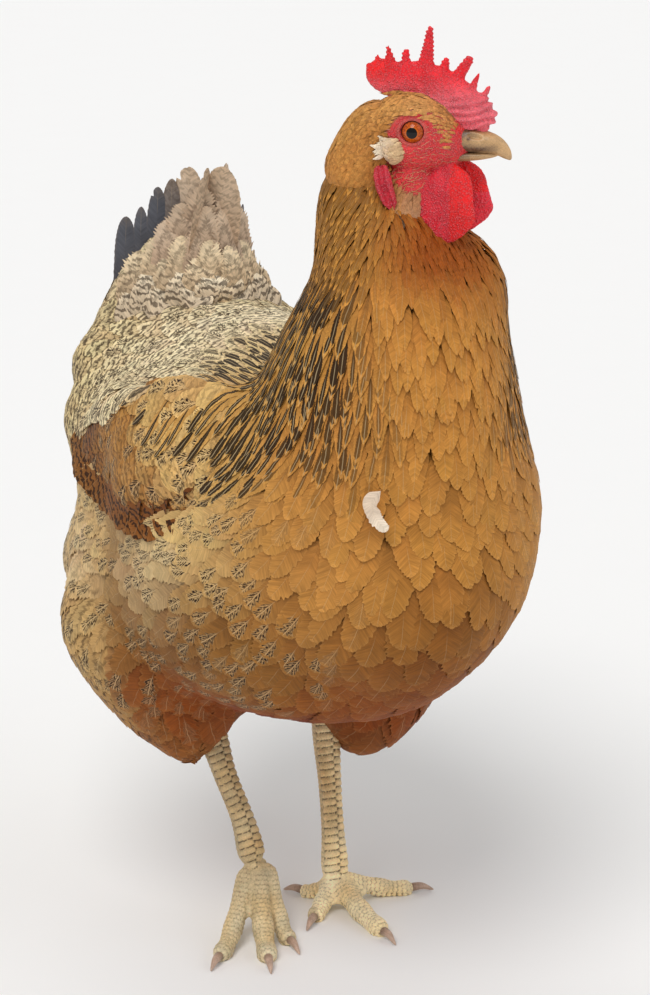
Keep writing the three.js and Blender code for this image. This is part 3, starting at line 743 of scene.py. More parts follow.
def spread(surface, spacing, keep, seed):
    """Roots over the kept faces, no closer than the spacing asks, with normals, faces and shares."""
    draw = np.random.default_rng(seed)
    corners = surface.verts[surface.tris]
    gap = spacing(corners.mean(1))
    area = norm(np.cross(corners[:, 1] - corners[:, 0], corners[:, 2] - corners[:, 0]), axis=1) / 2
    weight = area / gap ** 2 * keep
    number = int(weight.sum() * TRIES)
    chosen = draw.choice(len(weight), number, p=weight / weight.sum())
    a, b = draw.random((2, number))
    a, b = np.where(a + b > 1, 1 - a, a), np.where(a + b > 1, 1 - b, b)
    share = np.stack([1 - a - b, a, b], 1)
    points = (corners[chosen] * share[..., None]).sum(1)
    gaps = gap[chosen]
    size = float(np.percentile(gaps, 60))
    grid, kept = {}, []
    spots, cell, limit = points.tolist(), np.floor(points / size).astype(int).tolist(), gaps.tolist()
    for i in range(number):
        n = math.ceil(limit[i] / size)
        around = itertools.product(*(range(c - n, c + n + 1) for c in cell[i]))
        if all(math.dist(spots[i], spots[j]) >= limit[i] for key in around for j in grid.get(key, ())):
            grid.setdefault(tuple(cell[i]), []).append(i)
            kept.append(i)
    kept = np.array(kept)
    return points[kept], surface.face_normals[chosen[kept]], chosen[kept], share[kept]


def laid(surface, roots, normals, lie, length, seed, splay=0.14):
    """The middle line of each feather, over the surface from its root."""
    draw = np.random.default_rng(seed)
    count = len(roots)
    spots, ups = [roots], [normals]
    here, up = roots.copy(), normals.copy()
    stray = draw.normal(0, splay, count)[:, None]
    step = (length / (STEPS - 1))[:, None]
    for _ in range(STEPS - 1):
        way, _ = lie.at(here)
        way = unit(way - up * (way * up).sum(1, keepdims=True))
        way = unit(way + np.cross(up, way) * stray)
        goal = here + way * step
        found, normal = surface.nearest(goal)
        off = norm(found - goal, axis=1, keepdims=True)
        hold = 1 - ramp(off, 0.35 * step, 1.1 * step)
        here = found * hold + goal * (1 - hold)
        up = unit(up + (normal - up) * hold)
        spots.append(here)
        ups.append(up)
    return np.stack(spots, 1), np.stack(ups, 1)


def height_at(s, depth):
    """How far above the skin a vane lies: over its neighbours in front, under those behind."""
    return depth * (FIRST_RISE * ramp(s, 0, .3) + STEADY_RISE * s) - TIP_CURL * ramp(s, .7, 1)


def vane_width(v, taper, stiff=0.0):
    """Half width along the feather, 0 at the quill, 1 at the widest, closing round or pointed."""
    rise = ramp(v, 0.0, 0.38) ** 0.6
    round_tip = np.sqrt(np.clip(1 - np.clip((v - .66) / .34, 0, 1) ** 2.6, 0, 1))
    lance = 1 - np.clip((v - .3) / .7, 0, 1) ** 2.2
    return rise * (round_tip * (1 - taper) + lance * taper) * (1 - stiff) + stiff * (
        ramp(v, 0, .12) * round_tip)


def barb_ends(v, taper, stiff, lean):
    """How far along the outline the barbs that leave the shaft at v end, leaning forward."""
    low, high = v + 0 * lean, np.ones_like(v + 0 * lean)
    for _ in range(12):
        middle = (low + high) / 2
        past = middle - v > lean * vane_width(middle, taper, stiff)
        low, high = np.where(past, low, middle), np.where(past, middle, high)
    return (low + high) / 2


def feathers(lines, ups, width, kind, rows, seed, camber=0.05, fray=1.0, stiff=0.0, over=None,
             root_depth=-0.6):
    """Builds the vanes over their middle lines, or moulded over a surface if one is given."""
    draw = np.random.default_rng(seed)
    count = len(lines)
    v = 1 - (1 - np.linspace(0, 1, rows)) ** ROW_CROWD
    weights = spline(np.eye(STEPS), v)
    centre = np.einsum("rs,nsk->nrk", weights, lines)
    normal = unit(np.einsum("rs,nsk->nrk", np.abs(weights), ups))
    along = unit(np.gradient(centre, axis=1))
    side = unit(np.cross(along, normal))
    normal = np.cross(side, along)
    roll = draw.normal(0, .02, count)[:, None, None]
    side, normal = side * np.cos(roll) + normal * np.sin(roll), normal * np.cos(roll) - side * np.sin(roll)
    taper, fluff = kind["taper"][:, None], kind["fluff"][:, None]
    length = norm(np.diff(centre, axis=1), axis=2).sum(1)
    widest = width[:, None] / 2
    ends = barb_ends(v[None], taper, stiff, BARB_SLANT * widest / length[:, None])
    half = np.maximum(vane_width(ends, taper, stiff) * widest, QUILL)
    cut = fray * (0.03 + 0.26 * fluff) * ramp(v, .25, .6)[None]
    tooth = (np.arange(rows) % 2)[None] * cut
    vanes = []
    for _ in range(2):
        split = np.where(draw.random((count, rows)) < 0.02 * fray, .30, 0)
        split = np.maximum(split, np.roll(split, 1, 1) * .6)
        vanes.append(half * (1 - cut * draw.random((count, rows))) * (1 - tooth) * (1 - split))
    left, right = vanes
    out = np.empty((count, rows, RING, 3))
    thick = np.clip(0.02 * width, .08, .26)[:, None]
    step_over = draw.uniform(-.15, .15, count)[:, None]
    for k, u in enumerate(ACROSS):
        reach = (left if u < 0 else right) * abs(u)
        rise = thick * (0 if u else .5 if k == 2 else -.8) - camber * reach ** 2 / widest
        spot = centre + side * (np.sign(u) * reach)[..., None] + along * (BARB_SLANT * reach)[..., None]
        up = normal
        if over is not None:
            found, facing = over.nearest(spot.reshape(-1, 3))
            found, facing = found.reshape(spot.shape), facing.reshape(spot.shape)
            off = norm(found - spot, axis=2, keepdims=True)
            hold = 1 - ramp(off, 2.0, 5.0)
            spot, up = found * hold + spot * (1 - hold), unit(facing * hold + normal * (1 - hold))
            reached = v[None] + BARB_SLANT * reach / length[:, None]
            rise = rise + root_depth + step_over + height_at(np.minimum(reached, 1), kind["depth"][:, None])
        out[:, :, k] = spot + up * rise[..., None]
    aside = np.stack([-left, -left, left * 0, right, right, right * 0], -1) * np.abs(ACROSS)
    barb = v[None, :, None] * length[:, None, None] + 0 * aside
    lay = np.stack([barb, aside, barb + BARB_SLANT * np.abs(aside)], -1)
    along_share = np.clip(lay[..., 2] / length[:, None, None], 0, 1)
    across = np.broadcast_to(ACROSS[None, None], along_share.shape)
    return dict(verts=out, across=across, along=along_share, lay=lay, count=count, rows=rows,
                kind=kind | {"length": length}, seed=draw.random(count))


def feather_faces(count, rows):
    r, k = np.meshgrid(np.arange(rows - 1), np.arange(RING), indexing="ij")
    n = (k + 1) % RING
    one = np.stack([r * RING + k, r * RING + n, (r + 1) * RING + n, (r + 1) * RING + k], -1).reshape(-1, 4)
    last = (rows - 1) * RING
    caps = np.array([[0, 3, 2, 1], [0, 5, 4, 3], [last, last + 1, last + 2, last + 3],
                     [last, last + 3, last + 4, last + 5]])
    one = np.vstack([one, caps])
    return (one[None] + (np.arange(count) * rows * RING)[:, None, None]).reshape(-1, 4)


PATCH = 0.003  # how wide each feather's patch is on the unwrap
LONGEST = 200.0


def coat_mesh(name, parts):
    """One joined mesh from some sets of feathers, each with its places on the skin's unwrap."""
    verts, faces, base = [], [], 0
    data = {key: [] for key in ("ground", "marks", "lay", "vane", "bake", "more", "ring")}
    for made, place in parts:
        count, rows, kind = made["count"], made["rows"], made["kind"]
        verts.append(world(made["verts"].reshape(-1, 3)))
        faces.append(feather_faces(count, rows) + base)
        each = rows * RING
        base += count * each
        shade = 1 + 0.10 * (made["seed"] - 0.5)
        ground = np.stack([kind[c] * shade for c in "rgb"] + [made["seed"]], 1)
        marks = np.stack([kind[c] for c in ("tick", "lace", "fleck", "stripe")], 1)
        more = np.stack([kind["fluff"], kind["taper"], kind["width"] / 50, kind["length"] / LONGEST], 1)
        vane = np.stack([made["across"].reshape(-1) / 2 + .5, made["along"].reshape(-1)], 1)
        added = dict(ground=np.repeat(ground, each, 0), marks=np.repeat(marks, each, 0),
                     more=np.repeat(more, each, 0), lay=made["lay"].reshape(-1, 3), vane=vane,
                     bake=np.repeat(place, each, 0) + (vane - .5) * PATCH,
                     ring=np.tile(np.arange(RING), count * rows))
        for key, value in added.items():
            data[key].append(value)
    verts, faces = np.vstack(verts), np.vstack(faces)
    data = {key: np.concatenate(value) for key, value in data.items()}
    mesh = bpy.data.meshes.new(name)
    mesh.vertices.add(len(verts))
    mesh.vertices.foreach_set("co", verts.astype(np.float32).ravel())
    mesh.loops.add(faces.size)
    mesh.loops.foreach_set("vertex_index", faces.astype(np.int32).ravel())
    mesh.polygons.add(len(faces))
    mesh.polygons.foreach_set("loop_start", np.arange(0, faces.size, 4, dtype=np.int32))
    mesh.polygons.foreach_set("loop_total", np.full(len(faces), 4, np.int32))
    mesh.update(calc_edges=True)
    mesh.polygons.foreach_set("use_smooth", np.ones(len(faces), bool))
    edges = np.empty(len(mesh.edges) * 2, np.int32)
    mesh.edges.foreach_get("vertices", edges)
    ends = data["ring"][edges.reshape(-1, 2)]
    sharp = ((ends == 0) | (ends == 4)).all(1) & (ends[:, 0] == ends[:, 1])
    stored(mesh, "sharp_edge", sharp, "EDGE")
    for key in ("ground", "marks", "more", "lay"):
        stored(mesh, key, data[key].astype(np.float32))
    flat = faces.ravel()
    for key, layer_name in (("bake", "OFBake"), ("vane", "vane")):
        layer = mesh.uv_layers.new(name=layer_name)
        layer.data.foreach_set("uv", data[key][flat].astype(np.float32).ravel())
    return mesh


# ---------------------------------------------------------------- materials
class Graph:
    """A material's nodes, written as sums: sockets and plain numbers go in, sockets come out."""

    def __init__(self, name):
        self.material = bpy.data.materials.new(name)
        self.material.use_nodes = True
        self.tree = self.material.node_tree
        self.shader = self.tree.nodes["Principled BSDF"]

    def put(self, socket, value):
        if isinstance(value, bpy.types.NodeSocket):
            self.tree.links.new(value, socket)
        elif value is not None:
            if socket.type == "RGBA" and len(value) == 3:
                value = (*value, 1)
            socket.default_value = value

    def node(self, kind, inputs=(), out=0, **settings):
        made = self.tree.nodes.new("ShaderNode" + kind)
        for key, value in settings.items():
            setattr(made, key, value)
        for key, value in (inputs.items() if isinstance(inputs, dict) else enumerate(inputs)):
            self.put(made.inputs[key], value)
        return made.outputs if out is None else made.outputs[out]

    def math(self, operation, *values, clamp=False):
        return self.node("Math", values, operation=operation, use_clamp=clamp)

    def add(self, a, b):
        return self.math("ADD", a, b)

    def times(self, a, b, *rest):
        out = self.math("MULTIPLY", a, b)
        for value in rest:
            out = self.math("MULTIPLY", out, value)
        return out

    def less(self, a, b):
        return self.math("SUBTRACT", a, b)

    def step(self, x, low, high, start=0.0, end=1.0):
        """Smooth from start to end as x goes from low to high."""
        inputs = {"Value": x, "From Min": low, "From Max": high, "To Min": start, "To Max": end}
        return self.node("MapRange", inputs, interpolation_type="SMOOTHSTEP")

    def fall(self, x, low, high):
        return self.step(x, low, high, 1.0, 0.0)

    def attribute(self, name, out="Color"):
        return self.node("Attribute", out=out, attribute_name=name)

    def split(self, vector):
        return self.node("SeparateXYZ", (vector,), out=None)

    def vector(self, x, y, z):
        return self.node("CombineXYZ", (x, y, z))

    def noise(self, vector, scale=1.0, detail=2.0, rough=0.5, distortion=0.0):
        inputs = {"Vector": vector, "Scale": scale, "Detail": detail, "Roughness": rough,
                  "Distortion": distortion}
        return self.node("TexNoise", inputs)

    def mix(self, share, a, b, blend="MIX"):
        return self.node("Mix", {0: share, 6: a, 7: b}, 2, data_type="RGBA", blend_type=blend,
                         clamp_factor=True)

    def scaled(self, colour, share):
        """A colour times a number."""
        return self.node("VectorMath", {0: colour, "Scale": share}, operation="SCALE")

    def place(self):
        """The point on the object, in millimetres of the model's frame."""
        return self.scaled(self.node("TexCoord", out="Object"), 1 / MM)

    def finish(self, colour, roughness, height=None, depth=0.0002, strength=1.0, **fixed):
        for key, value in (fixed | {"Base_Color": colour, "Roughness": roughness}).items():
            self.put(self.shader.inputs[key.replace("_", " ")], value)
        if height is not None:
            inputs = {"Strength": strength, "Distance": depth, "Height": height}
            self.put(self.shader.inputs["Normal"], self.node("Bump", inputs))
        return self.material


DARK_BARB, PALE_SHAFT = paint(44, 24, 12), paint(236, 208, 160)
PALE_FRINGE, PALE_STROKE = paint(222, 182, 122), paint(226, 206, 160)
BLACK_BARB, RUSTY = paint(30, 20, 14), paint(214, 140, 70)


def feather_material():
    g = Graph("feather")
    step, fall, times, add, less, mix = g.step, g.fall, g.times, g.add, g.less, g.mix
    ground = g.attribute("ground")
    seed = g.attribute("ground", "Alpha")
    tick, lace, fleck = g.split(g.attribute("marks"))
    stripe = g.attribute("marks", "Alpha")
    fluff, taper, width = g.split(g.attribute("more"))
    barb, aside, along_mm = g.split(g.attribute("lay", "Vector"))
    u, v, _ = g.split(g.node("UVMap", out=0, uv_map="vane"))
    across = g.math("ABSOLUTE", less(times(u, 2.0), 1.0))
    off = g.math("ABSOLUTE", aside)
    salt = times(seed, 91.0)

    def grain(x, scale_x, y, scale_y, offset, detail, rough):
        """Noise in the vane's own plane, different in every feather."""
        own = add(salt, offset) if offset else salt
        return g.noise(g.vector(times(x, scale_x), times(y, scale_y), own), 1.0, detail, rough)

    left_over = less(times(g.attribute("more", "Alpha"), LONGEST), along_mm)

    fine = grain(barb, 2.4, aside, .15, 0.0, 2.0, .6)
    strand = grain(barb, .95, aside, .07, 3.0, 1.0, .5)
    broad = grain(barb, .5, aside, .12, 0.0, 2.0, .5)
    cloud = grain(along_mm, .10, aside, .10, 7.0, 2.0, .5)
    tone = add(step(fine, .25, .75, .88, 1.12), step(broad, .3, .7, -.08, .08))
    tone = times(tone, step(cloud, .3, .7, .92, 1.08), step(v, .30, .85, .88, 1.04),
                   step(strand, .28, .72, .91, 1.09))
    colour = g.scaled(ground, tone)
    colour = mix(step(v, .45, .9, .28, 0.0), colour, mix(.6, colour, RUSTY, "MULTIPLY"))

    tip = times(step(v, .90, 1.0), .45)
    rim = g.math("MAXIMUM", tip, times(step(across, .78, 1.0), step(v, .4, .7), .30))
    rim = times(rim, step(fine, .30, .60), less(1.0, times(stripe, .5)))
    colour = mix(rim, colour, mix(.25, g.scaled(colour, 1.22), PALE_FRINGE))

    # dark and pale strokes along the barbs, on both sides of the shaft near the tip
    rest = add(left_over, times(off, BARB_SLANT))
    chosen = times(step(g.math("FRACT", times(seed, 7.0)), .30, .50), tick)
    phase = add(step(broad, .2, .8, -4.5, 4.5), step(aside, -.05, .05, 0.0, 2.2))
    wave = g.math("SINE", add(times(less(barb, times(off, 1.1)), 2.9), phase))
    bulge = times(step(rest, 1.5, 4.5), fall(rest, 9.0, 17.5),
                    step(broad, .2, .8, 1.9, 4.4))
    zone = times(step(less(bulge, off), .0, .8), step(chosen, .1, .5), step(off, .16, .40))
    broken = grain(barb, 1.1, off, .9, 11.0, 1.0, .5)
    colour = mix(times(zone, .22), colour, PALE_STROKE)
    colour = mix(times(step(wave, -.45, .15), zone, step(broken, .30, .46)), colour, DARK_BARB)

    # a dark arc inside the tip's edge, and a second one further in, both broken into barbs
    ahead = g.math("MAXIMUM", less(v, .52), 0.0)
    reach = g.math("SQRT", add(g.math("POWER", across, 2.0), g.math("POWER", times(ahead, 2.1), 2.0)))
    wobble = add(reach, add(step(broad, .2, .8, -.16, .16), times(wave, .05)))
    arc = times(step(wobble, .46, .56), fall(wobble, .68, .80), step(v, .35, .55))
    inner = times(step(wobble, .02, .10), fall(wobble, .20, .30), step(v, .50, .62))
    arc = times(g.math("MAXIMUM", arc, times(inner, .7)), step(fine, .32, .50))
    colour = mix(times(arc, lace, .88), colour, DARK_BARB)

    # broken dark lines all over, running with the barbs
    warp = grain(barb, .16, aside, .20, 5.0, 2.0, .6)
    bars = g.math("SINE", add(add(times(barb, 1.5), times(off, 1.4)), times(warp, 14.0)))
    gaps = grain(barb, .30, aside, .35, 9.0, 1.0, .5)
    worm = times(step(bars, .02, .35), step(gaps, .37, .45), step(fine, .20, .36))
    colour = mix(times(worm, fleck, .90, step(v, .1, .3)), colour, DARK_BARB)

    # hackle: a dark middle, widest near the tip, frayed out along the barbs
    belly = times(step(left_over, 2.0, 5.0), step(left_over, 9.0, 24.0, 1.55, .55))
    belly = times(belly, step(g.math("FRACT", times(seed, 13.0)), .0, .8, .55, 1.15))
    edge = less(add(belly, step(fine, .2, .8, -.25, .25)), off)
    middle = times(step(edge, -.12, .15), step(stripe, .1, .6), step(left_over, 1.5, 3.0))
    colour = mix(times(middle, .95), colour, BLACK_BARB)

    marked = g.math("MAXIMUM", chosen, times(stripe, .8))
    shaft = times(fall(off, .12, .26), fall(v, .93, .99))
    seen = times(shaft, step(left_over, 10.0, 18.0, 1.0, .12), step(marked, .0, .6, .14, .60),
                   step(width, .07, .14, .3, 1.0))
    colour = mix(seen, colour, mix(.75, colour, PALE_SHAFT))

    ribs = grain(barb, 3.4, aside, .10, 0.0, 1.0, .5)
    height = add(ribs, times(shaft, 1.2))
    rough = step(fine, .2, .8, .52, .70)
    return g.finish(colour, rough, height, 0.0003, 0.4, Specular_IOR_Level=0.14)


def skin_material():
    g = Graph("skin")
    ground = g.attribute("ground")
    flesh, comb, leg = g.split(g.attribute("where"))
    at = g.place()
    blotch = g.noise(at, .12, 3.0, .6)
    pores = g.node("TexVoronoi", {"Vector": at, "Scale": .95}, feature="F1")
    grain = g.noise(at, 1.3, 3.0, .65)
    tone = g.add(g.step(blotch, .3, .7, .84, 1.14), g.step(grain, .3, .7, -.14, .14))
    colour = g.scaled(ground, tone)
    bare = g.math("MINIMUM", g.add(flesh, comb), 1.0)
    # Bare skin: the hollows between the papillae are painted a darker red, painted shade, and the papilla
    # tops a paler pink, a painted highlight.
    raised = g.fall(pores, .10, .60)
    hollow_shade = g.mix(.85, colour, (.80, .12, .14), "MULTIPLY")
    colour = g.mix(g.times(g.less(1.0, raised), bare, .50), colour, hollow_shade)
    colour = g.mix(g.times(raised, bare, .34), colour, (1.0, .26, .28))
    rough = g.add(g.step(grain, .3, .7, .34, .50), g.times(leg, .10))
    height = g.add(g.times(raised, g.add(bare, .10)), g.times(grain, .8))
    g.finish(colour, rough, height, 0.00055, 0.9, Specular_IOR_Level=0.5, Subsurface_Weight=0.10,
             Subsurface_Scale=0.003)
    g.shader.inputs["Subsurface Radius"].default_value = (1.0, .28, .18)
    return g.material


def horn_material(name, tone, dark):
    """Horn: pale, streaked along the growth, darker by the attribute shade: its own darker ridge and base,
    and on the beak also painted shade along the gape and in the nostril.
    """
    g = Graph(name)
    shade = g.attribute("shade", "Fac")
    streaks = g.vector(*[g.times(part, scale) for part, scale in zip(g.split(g.place()), (2.2, .25, 2.2))])
    streak = g.noise(streaks, 1.0, 3.0, .6)
    cloudy = g.noise(g.place(), .35, 2.0, .5)
    colour = g.mix(g.add(g.times(shade, .9), g.step(streak, .35, .75, -.10, .30)), tone, dark)
    colour = g.scaled(colour, g.step(cloudy, .3, .7, .90, 1.12))
    height = g.add(g.times(streak, .6), g.times(cloudy, .4))
    return g.finish(colour, g.step(cloudy, .3, .7, .30, .44), height, 0.0002, 0.4,
                    Specular_IOR_Level=0.5)


def eye_material():
    g = Graph("eye")
    look = g.attribute("look", "Fac")
    turn = g.attribute("turn", "Vector")
    rays = g.noise(turn, 9.0, 3.0, .7)
    ring = g.noise(g.vector(g.times(look, 6.0), 0.0, 0.0), 1.0, 2.0, .5)
    iris = g.mix(g.step(rays, .35, .7), paint(142, 54, 10), paint(224, 100, 22))
    iris = g.mix(g.step(look, .43, .56, .55, 0.0), iris, paint(236, 124, 28))
    iris = g.scaled(iris, g.step(ring, .3, .7, .85, 1.12))
    iris = g.mix(g.step(look, .76, .84), iris, paint(38, 14, 8))
    colour = g.mix(g.step(look, .405, .435), (.004, .003, .003), iris)
    relief = g.times(rays, g.step(look, .3, .9, .4, .1))
    return g.finish(colour, g.step(rays, .2, .8, .10, .14), relief, 0.00005, 0.2, Coat_Weight=1.0,
                    Coat_Roughness=0.03, Coat_IOR=1.38, Specular_IOR_Level=0.0)


# ---------------------------------------------------------------- pieces
def placed(name, mesh, material, slot, *nodes):
    """A piece of the bird, riding on her body, in place of the solids it stands for."""
    obj = linked(name, mesh)
    mesh.materials.append(material)
    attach(obj, "root")
    if nodes:
        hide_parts(*nodes)


def smooth_mesh(name, verts, faces, **fields):
    """A smooth mesh from bird-frame points, with per-vertex colours, vectors or numbers."""
    mesh = mesh_from(name, world(verts), faces)
    mesh.polygons.foreach_set("use_smooth", np.ones(len(mesh.polygons), bool))
    for key, value in fields.items():
        stored(mesh, key, np.asarray(value, np.float32))
    return mesh


def face_oval(y, z):
    """How far out a point of the head is from the middle of the bare face, 1 at its edge."""
    return np.hypot((y + 3) / 15.5, (z + 10) / 18)


def opaque(rgb):
    return np.hstack([rgb, np.ones((len(rgb), 1))])


def carried(points, surface, values):
    """The value at the surface's nearest vertex to each point, and how far that is."""
    out, gaps = np.zeros(len(points)), np.zeros(len(points))
    for i, p in enumerate(points.tolist()):
        spot, _, index, gap = surface.bvh.find_nearest(p)
        corners = surface.tris[index]
        near = corners[((surface.verts[corners] - np.array(p)) ** 2).sum(1).argmin()]
        out[i], gaps[i] = values[near], gap
    return out, gaps


COMB_RED, COMB_BASE_AND_SHEEN = linear((250, 22, 44)), linear((255, 132, 146))
COMB_REAR_GLOW = linear((255, 6, 14))
WATTLE_RED, FACE_RED, LOBE_RED = linear((228, 42, 64)), linear((234, 66, 68)), linear((212, 52, 74))
FOLD_RED = linear((244, 10, 18))
LID_TONE, HEAD_DOWN = linear((206, 110, 96)), linear((150, 96, 48))
LEG_TONE, LEG_WARM, LEG_GROOVE_TONE_AND_SHADE = linear((232, 220, 186)), linear((220, 188, 130)), linear((88, 72, 50))
DOWN_SHARE, LEFT_WATTLE_PAINTED_LIGHT, BRIGHTEST = 0.62, 1.35, .98
LEG_LIGHT_AND_SHADE = (1.14, .82)  # painted light and shade: her left leg is painted paler and her right leg darker
FOOT_GAIN, SHANK_LOSS, FOOT_TOP, SHANK_FROM = 1.34, np.array((.36, .46, .58)), 14, 50
HEAD_FROM, LEGS_BELOW, SAME_SPOT = 370, 112, 0.05

local = to_head(skin_verts)
high = skin_verts[:, 2] > HEAD_FROM
count = len(skin_verts)
is_head, is_leg, labels, scale_height = (np.zeros(count, kind) for kind in (bool, bool, int, float))
labels[high], gap = carried(skin_verts[high], head, head_part)
is_head[high] = gap < SAME_SPOT
for limb in legs:
    low = (skin_verts[:, 2] < LEGS_BELOW) & ~is_leg
    scale_height[low], gap = carried(skin_verts[low], limb, limb.scale_height)
    is_leg[low] = gap < SAME_SPOT
ground = np.stack([body_lie.at(skin_verts)[1][c] for c in "rgb"], 1) * DOWN_SHARE
x, y, z = local.T
eye_r = np.hypot(y / 1.06, z / 0.94)
bare_face = ramp(1.15 - face_oval(y, z), 0, .15)
bare_face = np.maximum(bare_face, ramp(1.15 - np.hypot((y + 20) / 8, (z + 7) / 11), 0, .15))[:, None]
face = FACE_RED * bare_face + HEAD_DOWN * (1 - bare_face)
rim = bump(eye_r - 6.0, 1.0)[:, None] * .8
face = face * (1 - rim) + LID_TONE * rim
# The comb's lower part is pale pink, partly its own colour and partly painted sheen.
pale_base = (1 - ramp(z, 10, 26))[:, None]
fold = ramp(-16 - y, 0, 2)[:, None] * ((x < 0) | (z > -30))[:, None]
# The wattle on her left is painted brighter than the one on her right: painted light.
wattle_tone = (WATTLE_RED * (1 - fold) + FOLD_RED * fold) * np.where(x > 0, LEFT_WATTLE_PAINTED_LIGHT, 1)[:, None]
# The comb's rear is painted a purer, brighter red, a painted glow of light shining through the thin comb.
rear = ramp(y, 8, 20)[:, None]
comb_tone = (COMB_RED * (1 - rear) + COMB_REAR_GLOW * rear) * (1 - pale_base) + COMB_BASE_AND_SHEEN * pale_base
tones = [face, comb_tone, np.minimum(wattle_tone, BRIGHTEST), np.broadcast_to(LOBE_RED, local.shape)]
for part, tone in enumerate(tones):
    chosen = is_head & (labels == part)
    ground[chosen] = tone[chosen]
bent = (lumps(skin_verts, 14, 4) * .5 + .5)[:, None]
leg_tone = LEG_TONE * bent + LEG_WARM * (1 - bent)
# The grooves between the scales take the dark groove colour, partly their own dark joints and partly painted
# shade, and the scales are painted a little darker where they are not proud, painted shade.
sunk = ramp(-scale_height, .0, .26)[:, None]
proud = ramp(scale_height, .10, .34)[:, None]
leg_tone = leg_tone * (1 - .15 * (1 - proud)) * (1 - sunk) + LEG_GROOVE_TONE_AND_SHADE * sunk
leg_tone = leg_tone * (FOOT_GAIN - SHANK_LOSS * ramp(skin_verts[:, 2], FOOT_TOP, SHANK_FROM)[:, None])
leg_tone = leg_tone * np.where(skin_verts[:, 0] > 0, *LEG_LIGHT_AND_SHADE)[:, None]
ground[is_leg] = leg_tone[is_leg]
where = np.zeros((len(skin_verts), 3))
where[is_head, 0] = bare_face[is_head, 0]
where[is_head & (labels != SKULL_PART), 0] = 1
where[is_head & (labels == COMB_PART), 1] = 1
where[is_leg, 2] = 1
skin_mesh = smooth_mesh("skin", skin_verts, skin_faces, ground=opaque(ground), where=where)
placed("skin", skin_mesh, skin_material(), "comb_red", *REST, *WINGS, "head", "comb",
       "wattle_left", "wattle_right", "earlobe_left", "earlobe_right", "shank_left", "shank_right",
       *[f"toe_{side}_{name[0]}" for side in TOES for name in TOES[side]])


def eyeball(side):
    """An eye with a swollen front, and how far each point stands from the middle of the pupil."""
    axis = unit(np.array([side, -.10, -.02]))
    level = unit(np.cross((0, 0, 1), axis))
    above = np.cross(axis, level)
    rings, sides = 48, 64
    theta = np.pi * np.arange(rings + 1) / rings
    phi = TAU * np.arange(sides) / sides
    t, p = np.meshgrid(theta, phi, indexing="ij")
    radius = EYE_RADIUS * (1 + .05 * bump(t, .55))
    out = (axis * np.cos(t)[..., None] + level * (np.sin(t) * np.cos(p))[..., None]
           + above * (np.sin(t) * np.sin(p))[..., None]) * radius[..., None]
    verts = (out + np.array([side * EYE_SPREAD, 0, 0])).reshape(-1, 3)
    faces = []
    for i in range(rings):
        for j in range(sides):
            k = (j + 1) % sides
            a, b, c, d = i * sides + j, (i + 1) * sides + j, (i + 1) * sides + k, i * sides + k
            faces.append([a, b, c] if i == 0 else [a, b, d] if i == rings - 1 else [a, b, c, d])
    look = np.where(t < np.pi / 2, np.sin(t), 1.0).reshape(-1)
    turn = np.stack([np.cos(p), np.sin(p), .4 * t], -1).reshape(-1, 3)
    return from_head(verts), faces, look, turn


eye_look = eye_material()
for side_name, side in SIDES:
    verts, faces, look, turn = eyeball(side)
    mesh = smooth_mesh(f"eyeball_{side_name}", verts, faces, look=look, turn=turn)
    weld = evaluated(mesh, ("WELD", {"merge_threshold": 1e-6}))
    placed(f"eyeball_{side_name}", weld, eye_look, "eye_amber", f"eye_{side_name}")

BEAK_BASE, BEAK_TIP = -18.2, -42.8
NOSTRIL = (0.30, 0.62)


def beak_relief(t, angle, girth):
    """Ridge along the top, a nostril under its flap on each side, and growth lines."""
    turn = np.abs((angle - math.pi / 2 + math.pi) % TAU - math.pi)
    ridge = 0.5 * bump(turn, .28) * (1 - .6 * t)
    spot = np.hypot((t - NOSTRIL[0]) / .085, (turn - 1.0) / .20)
    pit = -1.3 * np.exp(-spot ** 4)
    flap = 0.5 * np.exp(-(np.hypot((t - .26) / .13, (turn - .72) / .24)) ** 2)
    lines = 0.06 * np.sin(TAU * t * 9 + 2 * np.cos(3 * turn)) * (1 - t)
    return ridge + pit + flap + lines


beaks = {
    "beak_upper": dict(
        path=[(0, BEAK_BASE + 2, -5), (0, -28.2, -5.5), (0, -36.4, -7.3), (0, BEAK_TIP, -12.9)],
        sizes=[(6.9, 6.4, 5.4), (6, 5.5, 5.0), (3.8, 4.2, 3.8), (1.3, 1.9, 1.1)],
        rings=90, sides=72, ends=(.06, .16), square=2.1, relief=beak_relief),
    "beak_lower": dict(
        path=[(0, BEAK_BASE + 2, -12.2), (0, -28.2, -11.6), (0, -37.4, -10.8)],
        sizes=[(5.9, 2.4, 3.0), (4.4, 1.8, 2.1), (1.5, .9, .8)],
        sides=60, ends=(.06, .2), square=2.2),
}
for name, shape in beaks.items():
    verts, faces = sweep(**shape)
    x, y, z = verts.T
    back = 1 - ramp(-y, 18, 33)
    top = ramp(z + .35 * (y + 18), -6, -1) if name == "beak_upper" else 0 * z
    # A darker band along the gape, where the two halves meet, is partly the horn's own colour and partly
    # painted shade; on the upper half the nostril pit is painted dark, painted shade.
    gape = np.exp(-((z + 9.6 + .12 * (y + 18)) / 2.2) ** 2) * (1 - ramp(-y, 31, 41))
    shade = np.clip(.58 * back + .70 * top * (.3 + back) + .85 * gape, 0, 1)
    if name == "beak_upper":
        shade = np.maximum(shade, np.exp(-(np.hypot((y + 24.2) / 2.0, (z + 3.3) / 1.3)) ** 2 * 1.6))
    mesh = smooth_mesh(name + "_horn", from_head(verts), faces, shade=shade)
    horn = horn_material(name, paint(204, 164, 116), paint(84, 58, 42))
    placed(name + "_horn", mesh, horn, "beak_horn", name)

claw_look = horn_material("claw", paint(196, 166, 146), paint(112, 84, 62))
for key, (verts, faces) in claw_parts.items():
    away = norm(verts - verts[-2], axis=1)
    shade = .75 * (1 - ramp(away, 1, 8)) + .15
    mesh = smooth_mesh(f"talon_{key}", verts, faces, shade=shade)
    placed(f"talon_{key}", mesh, claw_look, "claw_horn", f"claw_{key}")


